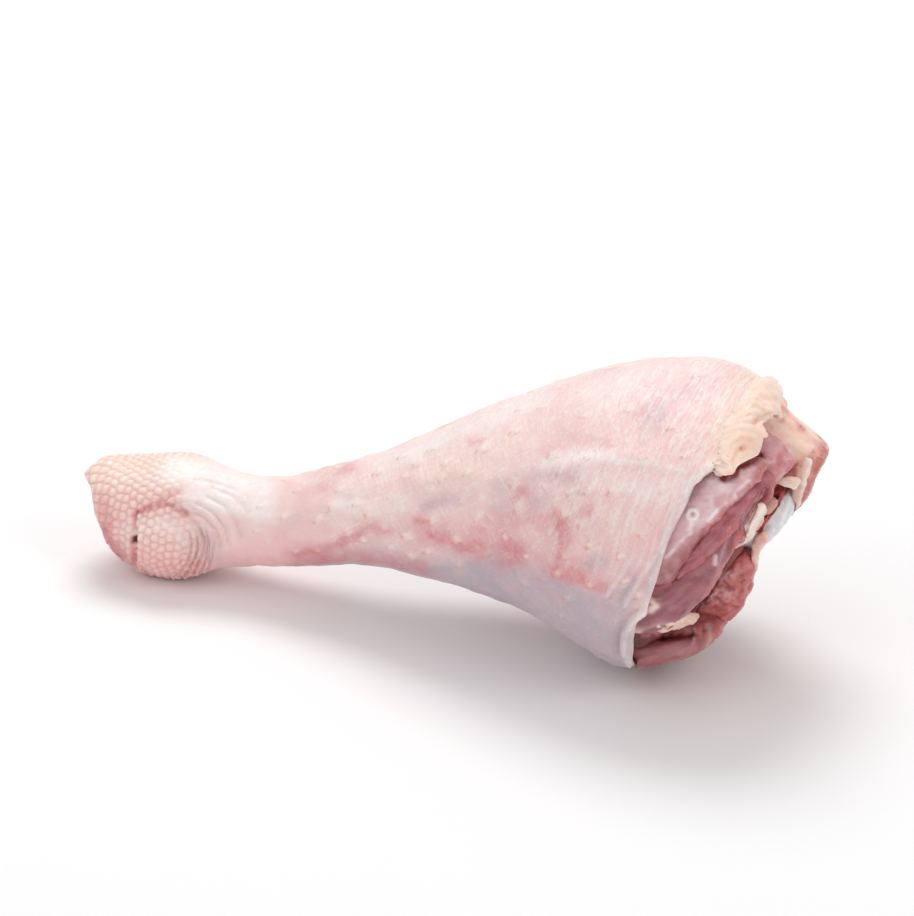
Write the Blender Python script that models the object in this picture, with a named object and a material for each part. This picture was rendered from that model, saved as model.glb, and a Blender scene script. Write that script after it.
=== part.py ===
"""A raw turkey drumstick, lying on its side as it would on a counter.

The hock (ankle) points to -X and the cut knee end to +X.  The origin is on the surface that it lies
on, under the middle of its box.  Sizes below are in millimetres and become metres when a mesh is made.
"""

import math
import random

import bmesh
import bpy
from mathutils import Matrix, Vector

MM = 0.001
FIT_GAP = 0.35  # clearance between neighbouring pieces

# ---- the body as the skin wraps it ---------------------------------------------------------------

# (x, height of the centre, half height, half width)
BODY = (
    (-120.3, 18.5, 10.0, 9.5),
    (-118.8, 18.2, 12.6, 12.0),
    (-116.0, 17.8, 15.3, 14.6),
    (-109.0, 17.4, 17.8, 17.6),
    (-101.0, 18.4, 19.5, 19.0),
    (-93.0, 19.6, 20.4, 19.3),
    (-85.0, 20.5, 18.5, 17.8),
    (-77.0, 21.3, 15.6, 15.4),
    (-60.0, 24.2, 14.4, 14.2),
    (-44.0, 29.4, 16.2, 15.8),
    (-28.0, 34.9, 17.8, 18.0),
    (-12.0, 40.1, 22.3, 22.4),
    (4.0, 45.0, 28.0, 27.8),
    (21.0, 49.1, 33.6, 33.5),
    (37.0, 51.3, 39.6, 39.0),
    (53.0, 51.3, 47.1, 45.0),
    (69.0, 51.9, 50.5, 47.8),
    (85.0, 59.2, 45.8, 46.0),
    (95.0, 65.2, 39.4, 41.0),
    (103.0, 70.4, 31.0, 35.0),
    (111.0, 74.6, 21.0, 26.0),
)
HOCK_LEAN = 0.42  # how far the hock's end leans back for each millimetre of height
HOCK_LEAN_FROM, HOCK_LEAN_RUN = -90.0, 30.0

# Behind the top, near the knee, the body falls away: (x, how far)
SHOULDER = ((70.0, 0.0), (78.0, 0.2), (86.0, 2.4), (95.0, 5.6), (103.0, 9.6), (111.0, 12.0))
SHOULDER_ANGLE, SHOULDER_WIDTH = 325.0, 52.0

# Where it rests, the thick end sags to the surface.
SAG, SAG_X, SAG_LENGTH, SAG_WIDTH = 3.4, 60.0, 15.0, 17.0

SKIN_THICKNESS, EDGE_THICKNESS = 1.9, 1.5
HOCK_SKIN_THICKNESS = 3.6  # the scaly skin with the tissue that is fast to it
HOCK_OPENING_RADIUS = 6.6  # where the foot was taken off

# The knife left the skin in nearly one plane, leaning so that the skin reaches furthest on top.
SKIN_EDGE_X = 83.0
SKIN_EDGE_LEAN = 21.0
SKIN_EDGE_FRONT = 4.0
SKIN_EDGE_RAGGED = 0.9

# The knuckle: a round boss on the hock's near side, with creases round it.
KNUCKLE_X, KNUCKLE_ANGLE, KNUCKLE_RADIUS = -95.0, 104.0, 11.0
KNUCKLE_HEIGHT, CREASE_DEPTH, CREASE_WIDTH = 1.8, 1.7, 1.9

FOLLICLE_HEIGHT = 0.55  # the goose bumps where feathers grew

SKIN_SIDES, LUMEN_SIDES = 40, 18
STRAND_SIDES, STRAND_RINGS = 12, 10
LUMEN_PLACES = [-113.0 + 12.4 * k for k in range(17)] + [93.5, 100.0, 105.5, 112.0]

# ---- the muscles, bones and sinews that show at the cut end --------------------------------------

# Strands that follow the body's surface, from the knee down the leg:
# (x, angle round the leg, depth of the outer face, half width, half thickness)
MUSCLE_OUTER = (
    (108.5, 46.0, 2.4, 2.6, 1.6),
    (104.0, 54.0, 2.2, 5.2, 2.6),
    (97.0, 63.0, 1.9, 6.6, 3.8),
    (91.0, 74.0, 1.9, 6.8, 4.8),
    (86.5, 85.0, 2.0, 6.4, 5.6),
    (78.0, 94.0, 2.2, 7.0, 6.0),
    (52.0, 97.0, 2.3, 9.0, 7.0),
    (24.0, 102.0, 2.4, 9.0, 6.0),
    (-4.0, 104.0, 2.6, 6.0, 4.0),
)
MUSCLE_BAND = (
    (110.6, 60.0, 2.4, 3.0, 2.8),
    (107.2, 72.0, 2.6, 5.0, 4.0),
    (102.2, 81.0, 2.7, 5.8, 4.6),
    (97.0, 89.0, 2.7, 6.0, 4.8),
    (91.5, 96.0, 2.8, 5.4, 4.8),
    (84.5, 102.0, 3.2, 4.4, 4.6),
    (60.0, 106.0, 4.0, 4.6, 5.0),
    (30.0, 108.0, 4.0, 4.0, 4.0),
)
MUSCLE_CALF = (
    (104.0, 98.0, 3.6, 2.6, 3.6),
    (100.0, 102.5, 2.2, 5.6, 6.0),
    (96.0, 107.0, 1.8, 7.4, 7.5),
    (91.5, 110.5, 1.8, 8.6, 8.5),
    (84.5, 114.0, 2.0, 9.4, 9.0),
    (72.0, 118.0, 2.2, 11.0, 10.0),
    (50.0, 123.0, 2.4, 13.0, 11.0),
    (24.0, 124.0, 2.5, 12.0, 10.0),
    (-4.0, 120.0, 2.6, 8.0, 7.0),
)
MUSCLE_STRIP = (
    (110.6, 73.0, 2.4, 1.6, 1.8),
    (109.6, 80.0, 1.9, 2.3, 2.4),
    (107.4, 88.0, 1.7, 2.9, 3.0),
    (105.2, 96.0, 1.8, 3.0, 3.2),
    (103.0, 104.0, 3.4, 2.8, 3.2),
    (97.0, 108.0, 7.0, 2.4, 3.0),
)
MUSCLE_BACK = (
    (105.0, 290.0, 3.0, 6.0, 5.0),
    (98.0, 282.0, 2.2, 12.0, 8.0),
    (86.0, 272.0, 2.1, 17.0, 11.0),
    (62.0, 262.0, 2.4, 19.0, 13.0),
    (30.0, 258.0, 2.5, 16.0, 12.0),
    (-6.0, 256.0, 2.6, 10.0, 8.0),
)
TENDON = (
    (111.0, 84.0, 2.2, 1.6, 1.4),
    (110.2, 94.0, 2.0, 2.2, 1.7),
    (108.8, 104.0, 2.0, 2.3, 1.7),
    (106.6, 113.0, 2.6, 2.1, 1.7),
    (103.5, 120.0, 6.0, 2.0, 1.8),
    (95.0, 122.0, 13.0, 1.9, 1.8),
    (78.0, 122.0, 18.0, 1.8, 1.8),
)
FAT_LOWER = (
    (79.0, 119.0, 0.8, 2.0, 1.0),
    (83.0, 123.5, 0.4, 3.4, 1.5),
    (87.0, 129.5, 0.6, 3.8, 1.6),
    (90.5, 141.0, 2.0, 2.2, 1.2),
)

# Deeper strands: (x, y, z, half width, half thickness)
MUSCLE_KNEE = (
    (74.0, -3.0, 78.0, 7.0, 7.0),
    (90.0, -5.0, 82.0, 9.0, 9.0),
    (104.0, -7.5, 80.0, 9.2, 8.6),
    (114.5, -6.5, 74.5, 6.0, 6.6),
)
MUSCLE_UPPER = (
    (30.0, 10.0, 58.0, 12.0, 11.0),
    (56.0, 13.0, 68.0, 17.0, 15.0),
    (78.0, 16.0, 75.0, 17.0, 16.0),
    (95.0, 18.0, 72.5, 16.8, 16.0),
    (106.0, 18.3, 65.0, 14.0, 13.5),
    (113.8, 18.5, 61.4, 13.3, 12.5),
)
MUSCLE_INNER = (
    (46.0, -6.0, 40.0, 11.0, 11.0),
    (64.0, -7.0, 42.0, 14.0, 13.5),
    (84.0, -8.0, 39.0, 14.5, 12.5),
    (101.3, -6.0, 31.6, 13.6, 9.6),
)
MUSCLE_UNDER = (
    (26.0, -3.0, 26.0, 12.0, 9.0),
    (46.0, -8.0, 15.5, 17.0, 9.0),
    (62.0, -12.0, 12.6, 19.0, 9.0),
    (76.0, -13.0, 16.2, 17.0, 8.0),
    (86.0, -11.0, 22.0, 14.0, 7.2),
    (92.5, -8.0, 26.5, 10.0, 5.5),
)
JOINT_CAPSULE = (
    (106.8, -11.5, 58.5, 2.2, 1.6),
    (105.4, -10.8, 53.0, 3.2, 2.2),
    (103.8, -9.2, 46.5, 2.8, 2.0),
    (102.2, -6.5, 39.5, 1.8, 1.5),
)
JOINT_FLESH = (
    (112.0, -6.5, 72.5, 2.4, 2.0),
    (109.3, -9.3, 66.5, 3.4, 2.8),
    (107.0, -11.0, 60.5, 3.2, 2.7),
    (105.2, -11.0, 55.0, 2.4, 2.2),
)
LIGAMENT = (
    (114.8, 3.8, 77.5, 2.0, 1.3),
    (114.8, 4.5, 71.5, 3.6, 1.7),
    (113.2, 6.0, 64.0, 3.4, 1.6),
    (110.8, 7.2, 57.5, 2.0, 1.2),
)
MENISCUS = (
    (107.5, -8.0, 71.5, 2.6, 1.2),
    (110.8, -3.0, 72.0, 3.6, 1.6),
    (113.0, 1.5, 72.5, 2.4, 1.3),
)
FIBULA = (
    (110.8, -11.4, 70.2, 3.2, 2.9),
    (104.0, -11.2, 66.0, 3.3, 2.9),
    (90.0, -10.5, 58.5, 2.5, 2.3),
    (66.0, -10.0, 50.0, 1.8, 1.7),
    (30.0, -9.5, 44.0, 1.3, 1.3),
)
TIBIA = (
    (-118.5, -3.0, 16.4, 4.6, 4.6),
    (-113.0, -1.5, 17.2, 8.6, 7.8),
    (-104.0, 0.0, 18.6, 10.4, 9.6),
    (-94.0, 0.0, 20.2, 8.8, 8.4),
    (-80.0, 0.0, 22.2, 6.6, 6.3),
    (-50.0, 0.0, 28.2, 6.0, 6.0),
    (0.0, 0.0, 41.0, 6.4, 6.2),
    (50.0, 0.0, 47.5, 7.2, 7.0),
    (78.0, 0.0, 52.0, 9.0, 8.5),
    (92.0, 0.5, 56.0, 12.4, 10.0),
    (102.0, 1.0, 58.0, 14.2, 10.4),
    (112.5, 1.0, 59.0, 12.0, 9.0),
)

# The fat flap on top, where the skin folds back: (angle, x of its inner edge, x of its outer edge)
FAT_FLAP = (
    (-38.0, 97.0, 99.5),
    (-28.0, 95.5, 103.0),
    (-14.0, 95.0, 105.2),
    (-4.0, 95.5, 107.0),
    (6.0, 96.5, 107.6),
    (14.0, 96.5, 107.0),
    (22.0, 96.0, 105.4),
    (27.0, 96.0, 107.4),
    (36.0, 96.5, 110.0),
    (47.0, 97.0, 109.4),
    (53.0, 97.5, 107.6),
    (58.0, 98.5, 105.4),
    (61.5, 99.5, 102.5),
)
FAT_THICKNESS = 2.3

# The pocket that opens between the calf muscle and the one under it: centre and radii
POCKET = (86.5, -31.0, 26.5)
POCKET_RADII = (9.5, 9.0, 3.4)

SKIN_COLOUR = (0.86, 0.62, 0.58, 1.0)
FAT_COLOUR = (0.90, 0.74, 0.58, 1.0)
FLESH_COLOUR = (0.42, 0.15, 0.16, 1.0)
RED_COLOUR = (0.50, 0.16, 0.16, 1.0)
FASCIA_COLOUR = (0.76, 0.46, 0.38, 1.0)
SILVER_COLOUR = (0.55, 0.34, 0.37, 1.0)
DARK_COLOUR = (0.30, 0.07, 0.07, 1.0)
BONE_COLOUR = (0.70, 0.72, 0.78, 1.0)
TENDON_COLOUR = (0.82, 0.70, 0.58, 1.0)


# ---- curves --------------------------------------------------------------------------------------


def smooth_between(stations, place):
    """The columns after the first, at place in the first, by a cubic that passes through each row."""
    last = len(stations) - 1
    place = min(max(place, stations[0][0]), stations[last][0])
    i = 0
    while i < last - 1 and stations[i + 1][0] < place:
        i += 1
    a, b = stations[i], stations[i + 1]
    before, after = stations[max(i - 1, 0)], stations[min(i + 2, last)]
    span = b[0] - a[0]
    t = (place - a[0]) / span
    values = []
    for column in range(1, len(a)):
        slope_a = (b[column] - before[column]) / (b[0] - before[0]) * span
        slope_b = (after[column] - a[column]) / (after[0] - a[0]) * span
        values.append(
            (2 * t**3 - 3 * t**2 + 1) * a[column]
            + (t**3 - 2 * t**2 + t) * slope_a
            + (3 * t**2 - 2 * t**3) * b[column]
            + (t**3 - t**2) * slope_b
        )
    return values


def ease(t):
    """0 to 1 with no corners, for t from 0 to 1."""
    t = min(max(t, 0.0), 1.0)
    return t * t * (3 - 2 * t)


def bell(distance, width):
    """1 at no distance, falling to almost nothing at two widths."""
    return math.exp(-((distance / width) ** 2))


def angle_from(a, b):
    """The way from angle b to angle a, in degrees, from -180 to 180."""
    return (a - b + 180.0) % 360.0 - 180.0


def spread(low, high, count):
    return [low + (high - low) * k / (count - 1) for k in range(count)]


def round_angles(sides):
    return [360.0 * k / sides for k in range(sides)]


# ---- the body's surface --------------------------------------------------------------------------
# Angles go round the leg in degrees: 0 on top, 90 at the front (-Y), 180 underneath, 270 behind.


def body_point(x, angle, depth=0.0):
    """A point of the plain body, sunk by depth below its surface."""
    height, half_height, half_width = smooth_between(BODY, x)
    ahead = smooth_between(BODY, x + 1.0)
    behind = smooth_between(BODY, x - 1.0)
    slope = (ahead[1] - behind[1]) / 2.0
    sink = depth * math.sqrt(1.0 + min(slope * slope, 4.0))
    fall = smooth_between(SHOULDER, x)[0] if x > SHOULDER[0][0] else 0.0
    sink += fall * bell(angle_from(angle, SHOULDER_ANGLE), SHOULDER_WIDTH)
    sink -= SAG * bell(x - SAG_X, SAG_LENGTH) * bell(angle_from(angle, 180.0), SAG_WIDTH)
    turn = math.radians(angle)
    up = (half_height - sink) * math.cos(turn)
    near = (half_width - sink) * math.sin(turn)
    lean = HOCK_LEAN * ease((HOCK_LEAN_FROM - x) / HOCK_LEAN_RUN)
    return Vector((x - lean * up, -near, height + up))


def outward(point):
    """The way that the body's surface faces, nearest to that point."""

    def size(x, y, z):
        height, half_height, half_width = smooth_between(BODY, x)
        return ((z - height) / half_height) ** 2 + (y / half_width) ** 2

    x, y, z = point
    slope = Vector(
        (
            size(x + 0.5, y, z) - size(x - 0.5, y, z),
            size(x, y + 0.5, z) - size(x, y - 0.5, z),
            size(x, y, z + 0.5) - size(x, y, z - 0.5),
        )
    )
    return slope.normalized()


def hock_relief(x, angle):
    """How far the knuckle stands out, and its creases cut in."""
    across = math.radians(angle_from(angle, KNUCKLE_ANGLE)) * 18.5
    away = math.hypot(x - KNUCKLE_X, across)
    boss = KNUCKLE_HEIGHT * ease(1.0 - away / (1.3 * KNUCKLE_RADIUS))
    crease = CREASE_DEPTH * bell(away - 1.15 * KNUCKLE_RADIUS, CREASE_WIDTH)
    seam = CREASE_DEPTH * bell(x - (KNUCKLE_X - 8.0), CREASE_WIDTH) * bell(across + 2.0, 14.0)
    upper_boss = 1.6 * bell(x + 113.0, 7.0) * bell(angle_from(angle, 35.0), 40.0)
    return boss + upper_boss - max(crease * ease((x + 112.0) / 6.0), seam)


def belly_relief(x, angle):
    """The long dent down the near side, where the muscles part under the skin."""
    dent = 1.2 * bell(angle_from(angle, 118.0 - 0.25 * x), 14.0)
    return dent * ease((x + 20.0) / 50.0) * ease((95.0 - x) / 25.0)


def skin_point(x, angle):
    """A point of the skin's outer face. It lies flat where it rests."""
    point = body_point(x, angle, belly_relief(x, angle) - hock_relief(x, angle))
    point.z = max(point.z, 0.0)
    return point


def skin_edge_x(angle):
    """Where the skin ends at that angle."""
    turn = math.radians(angle)
    ragged = math.sin(5 * turn + 0.6) + 0.6 * math.sin(11 * turn) + 0.4 * math.sin(17 * turn + 2.0)
    plane = SKIN_EDGE_X + SKIN_EDGE_LEAN * math.cos(turn) + SKIN_EDGE_FRONT * math.sin(turn)
    return plane + SKIN_EDGE_RAGGED * ragged


def skin_thickness(x):
    """Measured square to the skin."""
    hock = ease((-76.0 - x) / 12.0) * (HOCK_SKIN_THICKNESS - SKIN_THICKNESS)
    edge = ease((x - 62.0) / 20.0) * (EDGE_THICKNESS - SKIN_THICKNESS)
    return SKIN_THICKNESS + hock + edge


# ---- making meshes -------------------------------------------------------------------------------


def make_object(name, mesh, collection):
    made = bpy.data.objects.new(name, mesh)
    collection.objects.link(made)
    return made


def loft(name, rings, collection):
    """A closed solid through rings of points, in millimetres, closed at each end."""
    shape = bmesh.new()
    rows = [[shape.verts.new(Vector(point) * MM) for point in ring] for ring in rings]
    sides = len(rows[0])
    for row, following in zip(rows, rows[1:]):
        for k in range(sides):
            after = (k + 1) % sides
            shape.faces.new((row[k], row[after], following[after], following[k]))
    for row in (rows[0], rows[-1]):
        middle = shape.verts.new(sum((v.co for v in row), Vector()) / sides)
        for k in range(sides):
            shape.faces.new((row[k], row[(k + 1) % sides], middle))
    bmesh.ops.recalc_face_normals(shape, faces=shape.faces)
    bmesh.ops.triangulate(shape, faces=shape.faces)
    mesh = bpy.data.meshes.new(name)
    shape.to_mesh(mesh)
    shape.free()
    mesh.shade_smooth()
    return make_object(name, mesh, collection)


def ellipse(centre, width_way, thick_way, half_width, half_thickness, sides=STRAND_SIDES):
    ring = []
    for angle in round_angles(sides):
        turn = math.radians(angle)
        across = width_way * half_width * math.cos(turn)
        ring.append(centre + across + thick_way * half_thickness * math.sin(turn))
    return ring


def on_body(rows):
    """Stations given by their angle and depth, as (x, y, z, half width, half thickness)."""
    stations = []
    for x, angle, depth, half_width, half_thickness in rows:
        point = body_point(x, angle, depth + half_thickness)
        stations.append((*point, half_width, half_thickness))
    return stations


def dome_share(t, dome):
    """How much of its full width a strand has at a share t of its length from a rounded end."""
    if not dome or t >= dome:
        return 1.0
    return math.sqrt(max(1.0 - (1.0 - t / dome) ** 2, 0.03))


def strand_rings(stations, facing, grow, domes, count):
    """Rings along a strand's stations. facing is the way its flat side looks, or None for outward.

    domes are the shares of its length that its two ends take to round off; 0 leaves an end cut flat.
    grow makes the same shape larger all over, for what must keep clear of it.
    """
    rows = [(float(k), *station) for k, station in enumerate(stations)]
    length = len(stations) - 1.0
    rings = []
    for k in range(count):
        t = (1.0 - math.cos(math.pi * k / (count - 1))) / 2.0
        *place, half_width, half_thickness = smooth_between(rows, t * length)
        ahead = Vector(smooth_between(rows, t * length + 0.02)[:3])
        behind = Vector(smooth_between(rows, t * length - 0.02)[:3])
        along = (ahead - behind).normalized()
        looks = Vector(facing) if facing else outward(place)
        width_way = along.cross(looks).normalized()
        thick_way = width_way.cross(along).normalized()
        share = min(dome_share(t, domes[0]), dome_share(1.0 - t, domes[1]))
        shift = {0: -grow, count - 1: grow}.get(k, 0.0)
        rings.append(
            ellipse(
                Vector(place) + along * shift,
                width_way,
                thick_way,
                half_width * share + grow,
                half_thickness * share + grow,
            )
        )
    return rings


def lumpy(rings, plain, height, seed):
    """The rings with soft uneven lumps, as trimmed tissue has, which follow the plain ones' places."""
    draw = random.Random(seed)
    waves = [[draw.uniform(0.15, 0.4) for _ in range(3)] + [draw.uniform(0, 6)] for _ in range(5)]
    moved = []
    for ring, plain_ring in zip(rings, plain):
        middle = sum(ring, Vector()) / len(ring)
        row = []
        for point, (x, y, z) in zip(ring, plain_ring):
            bump = sum(math.sin(a * x + b * y + c * z + d) for a, b, c, d in waves)
            away = point - middle
            row.append(middle + away * (1.0 + 0.3 * height * bump / max(away.length, 4.0)))
        moved.append(row)
    return moved


def round_blob(name, centre, radii, turned, collection):
    """An ellipsoid from a sphere primitive."""
    shape = bmesh.new()
    bmesh.ops.create_uvsphere(shape, u_segments=16, v_segments=10, radius=MM)
    bmesh.ops.scale(shape, vec=radii, verts=shape.verts)
    mesh = bpy.data.meshes.new(name)
    shape.to_mesh(mesh)
    shape.free()
    blob = make_object(name, mesh, collection)
    blob.location = Vector(centre) * MM
    blob.rotation_euler = [math.radians(angle) for angle in turned]
    return blob


# ---- cutting and joining -------------------------------------------------------------------------


def box_of(thing):
    corners = [thing.matrix_world @ Vector(corner) for corner in thing.bound_box]
    return [(min(c[k] for c in corners), max(c[k] for c in corners)) for k in range(3)]


def may_touch(a, b):
    return all(p[0] < q[1] and q[0] < p[1] for p, q in zip(box_of(a), box_of(b)))


def cut_away(target, cutters):
    """Takes each cutter that reaches target out of it."""
    for cutter in cutters:
        if may_touch(target, cutter):
            cut = target.modifiers.new("clear of " + cutter.name, "BOOLEAN")
            cut.operation = "DIFFERENCE"
            cut.object = cutter


def islands_of(shape):
    left, islands = set(shape.verts), []
    while left:
        island, waiting = [], [left.pop()]
        while waiting:
            vertex = waiting.pop()
            island.append(vertex)
            for edge in vertex.link_edges:
                other = edge.other_vert(vertex)
                if other in left:
                    left.remove(other)
                    waiting.append(other)
        islands.append(island)
    return sorted(islands, key=len)


def settle(target):
    """Applies target's cuts and drops any scrap that they left loose."""
    graph = bpy.context.evaluated_depsgraph_get()
    mesh = bpy.data.meshes.new_from_object(target.evaluated_get(graph))
    shape = bmesh.new()
    shape.from_mesh(mesh)
    for scrap in islands_of(shape)[:-1]:
        bmesh.ops.delete(shape, geom=scrap, context="VERTS")
    bmesh.ops.dissolve_limit(
        shape, angle_limit=math.radians(2.0), verts=shape.verts, edges=shape.edges
    )
    bmesh.ops.triangulate(shape, faces=shape.faces)
    shape.to_mesh(mesh)
    shape.free()
    target.modifiers.clear()
    target.data = mesh
    mesh.shade_smooth()


def give_material(target, name, colour, roughness):
    material = bpy.data.materials.get(name) or bpy.data.materials.new(name)
    material.use_nodes = True
    shader = material.node_tree.nodes["Principled BSDF"]
    shader.inputs["Base Color"].default_value = colour
    shader.inputs["Roughness"].default_value = roughness
    shader.inputs["Metallic"].default_value = 0.0
    target.data.materials.clear()
    target.data.materials.append(material)


# ---- the skin and what it holds ------------------------------------------------------------------


def skin_columns():
    """How far along the leg each ring of the skin is, from 0 at the hock to 1 at its edge.

    They are closer together at the hock and at the edge, where the shape changes most.
    """
    hock = spread(0.0, 0.24, 14)
    shank = spread(0.24, 0.50, 7)[1:]
    belly = spread(0.50, 0.90, 10)[1:]
    edge = spread(0.90, 1.0, 4)[1:]
    return hock + shank + belly + edge


def skin_rings():
    draw = random.Random(11)
    rings = []
    for row, along in enumerate(skin_columns()):
        ring = []
        for k, angle in enumerate(round_angles(SKIN_SIDES)):
            x = BODY[0][0] + (skin_edge_x(angle) - BODY[0][0]) * along
            point = skin_point(x, angle)
            bumpy = 0.32 < along < 0.86 and (row + k) % 2 == 0 and point.z > 3.0
            if bumpy and draw.random() < 0.6:
                point += outward(point) * FOLLICLE_HEIGHT
            ring.append(point)
        rings.append(ring)
    return rings


def inside_rings(grow, places, extra):
    """Rings just inside the skin. grow and extra(x) move them further in."""
    rings = []
    for x in places:
        depth = skin_thickness(x) + grow
        ring = [body_point(x, angle, depth + extra(x)) for angle in round_angles(LUMEN_SIDES)]
        for point in ring:
            point.z = max(point.z, depth)
        rings.append(ring)
    return rings


def opening_ring(x, radius):
    """A ring of the small opening at the hock."""
    centre = Vector((x, -3.0, 16.0))
    return ellipse(centre, Vector((0, 0, 1)), Vector((0, -1, 0)), radius, radius, LUMEN_SIDES)


def make_skin(parts, cutters):
    """The skin: one sleeve, open at the knee end and by a small hole at the hock."""
    skin = loft("skin", skin_rings(), parts)
    lead_out = [opening_ring(x, HOCK_OPENING_RADIUS) for x in (-140.0, -118.5)]
    rings = inside_rings(0.0, LUMEN_PLACES, lambda x: 0.0)
    cut_away(skin, [loft("skin_lumen", lead_out + rings, cutters)])
    return skin


def make_keep_out(cutters):
    """The space that the skin takes, with its clearance, as a cutter for the muscles."""
    outside = []
    for along in spread(0.0, 1.0, 12):
        ring = []
        for angle in round_angles(SKIN_SIDES):
            ahead = skin_edge_x(angle) - SKIN_EDGE_X
            end = SKIN_EDGE_X + FIT_GAP + max(1.15 * ahead, 1.05 * ahead)
            ring.append(body_point(-60.0 + (end + 60.0) * along, angle, -6.0))
        outside.append(ring)
    keep_out = loft("skin_keep_out", outside, cutters)
    rings = inside_rings(1.5 * FIT_GAP, [x for x in LUMEN_PLACES if x > -80.0], lambda x: 0.0)
    cut_away(keep_out, [loft("skin_inside", rings, cutters)])
    settle(keep_out)
    return keep_out


def core_recess(x):
    """How far the deep muscle's end lies back from the others'."""
    return 1.0 * ease((x - 58.0) / 14.0) + 5.0 * ease((x - 72.0) / 28.0)


def core_rings(grow):
    lead_in = [opening_ring(-117.0, HOCK_OPENING_RADIUS - FIT_GAP)]
    rings = inside_rings(FIT_GAP, LUMEN_PLACES[:-1], core_recess)
    tip = smooth_between(BODY, 107.0)
    last = [Vector((107.0, point.y * 0.55, tip[0] + (point.z - tip[0]) * 0.55)) for point in rings[-1]]
    return lead_in + rings + [last]


def flap_rings(grow):
    """Sections of the fat flap, one for each angle, thick in the middle with a scalloped edge."""
    rings = []
    steps = spread(0.0, 1.0, 6)
    angles = spread(FAT_FLAP[0][0], FAT_FLAP[-1][0], 26)
    for angle in angles:
        inner, outer = smooth_between(FAT_FLAP, angle)
        ends = 1.0 if angle in (angles[0], angles[-1]) else 0.0
        top, bottom = [], []
        for u in steps:
            ripple = 0.7 * math.sin(math.radians(9.0 * angle) + 5.0 * u) * u
            lift = FIT_GAP + 0.9 * u**3 * (1.0 + math.sin(math.radians(13.0 * angle)))
            thick = 0.7 + FAT_THICKNESS * math.sin(math.pi * (0.08 + 0.8 * u)) * (1.0 - 0.7 * ends)
            reach = grow * (2.0 * u - 1.0)
            x = inner + (outer - inner) * u + reach
            turn = angle + {angles[0]: -grow, angles[-1]: grow}.get(angle, 0.0)
            bottom.append(body_point(x, turn, -lift + grow))
            top.append(body_point(x, turn, -(lift + thick + ripple * 0.6) - grow))
        rings.append(top + bottom[::-1])
    return rings


# ---- the list of pieces --------------------------------------------------------------------------


def strand(stations, facing=None, domes=(0.1, 0.1), lumps=0.0, seed=1, count=STRAND_RINGS):
    """A maker of that strand's rings, for any amount of growth."""

    def rings(grow):
        made = strand_rings(stations, facing, grow * (1.0 + 0.2 * lumps), domes, count)
        plain = strand_rings(stations, facing, 0.0, domes, count)
        return lumpy(made, plain, lumps, seed)

    return rings


FRONT_WAY, UNDER_WAY = (0.0, -1.0, 0.0), (0.0, 0.0, -1.0)

# Name, maker of its rings, material, colour, roughness. Each keeps clear of all those before it.
PIECES = (
    ("fat_flap", flap_rings, "fat", FAT_COLOUR, 0.4),
    ("tibia", strand(TIBIA, UNDER_WAY, (0.03, 0.10), count=16), "bone", BONE_COLOUR, 0.3),
    ("fibula", strand(FIBULA, FRONT_WAY, (0.16, 0.1), count=9), "bone", BONE_COLOUR, 0.3),
    ("meniscus", strand(MENISCUS, (0.3, -0.5, 0.8), (0.2, 0.2), count=7), "sinew", TENDON_COLOUR, 0.3),
    ("ligament", strand(LIGAMENT, (0.6, -0.75, 0.2), (0.2, 0.2), count=9), "sinew", TENDON_COLOUR, 0.3),
    ("tendon", strand(on_body(TENDON), None, (0.12, 0.1), count=10), "sinew", TENDON_COLOUR, 0.35),
    ("joint_capsule", strand(JOINT_CAPSULE, (0.6, -0.8, 0.0), (0.2, 0.2), 0.8, 3, 9), "fat",
     FAT_COLOUR, 0.4),
    ("joint_flesh", strand(JOINT_FLESH, (0.5, -0.8, 0.2), (0.2, 0.2), 0.6, 4, 9), "deep_flesh",
     DARK_COLOUR, 0.3),
    ("muscle_outer", strand(on_body(MUSCLE_OUTER), None, (0.12, 0.1)), "silverskin", SILVER_COLOUR, 0.3),
    ("muscle_calf", strand(on_body(MUSCLE_CALF), None, (0.12, 0.1)), "flesh", FLESH_COLOUR, 0.35),
    ("muscle_strip", strand(on_body(MUSCLE_STRIP), None, (0.1, 0.1)), "flesh", FLESH_COLOUR, 0.35),
    ("muscle_band", strand(on_body(MUSCLE_BAND), None, (0.1, 0.1)), "red_flesh", RED_COLOUR, 0.35),
    ("muscle_knee", strand(MUSCLE_KNEE, (0.3, -0.6, 0.7), (0.1, 0.3)), "flesh", FLESH_COLOUR, 0.35),
    ("muscle_upper", strand(MUSCLE_UPPER, FRONT_WAY, (0.1, 0.03), 1.2, 5), "fascia", FASCIA_COLOUR, 0.4),
    ("fat_lower", strand(on_body(FAT_LOWER), None, (0.2, 0.2), 0.8, 7, 8), "fat", FAT_COLOUR, 0.4),
    ("muscle_under", strand(MUSCLE_UNDER, UNDER_WAY, (0.1, 0.12), 1.2, 9), "flesh", FLESH_COLOUR, 0.35),
    ("muscle_inner", strand(MUSCLE_INNER, FRONT_WAY, (0.1, 0.08), 2.6, 13, 12), "red_flesh",
     RED_COLOUR, 0.35),
    ("muscle_back", strand(on_body(MUSCLE_BACK), None, (0.1, 0.1)), "flesh", FLESH_COLOUR, 0.35),
    ("muscle_deep", core_rings, "deep_flesh", DARK_COLOUR, 0.4),
)
CLEAR_OF_SKIN = ("muscle", "tendon", "fat_lower", "fibula")


def centre_on_floor(pieces):
    """Moves the whole so that its origin is under the middle of its box, on the floor."""
    boxes = [box_of(piece) for piece in pieces]
    shift = [-(min(b[k][0] for b in boxes) + max(b[k][1] for b in boxes)) / 2.0 for k in range(2)]
    low = min(box[2][0] for box in boxes)
    for piece in pieces:
        piece.data.transform(Matrix.Translation((*shift, -low)))


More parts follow.
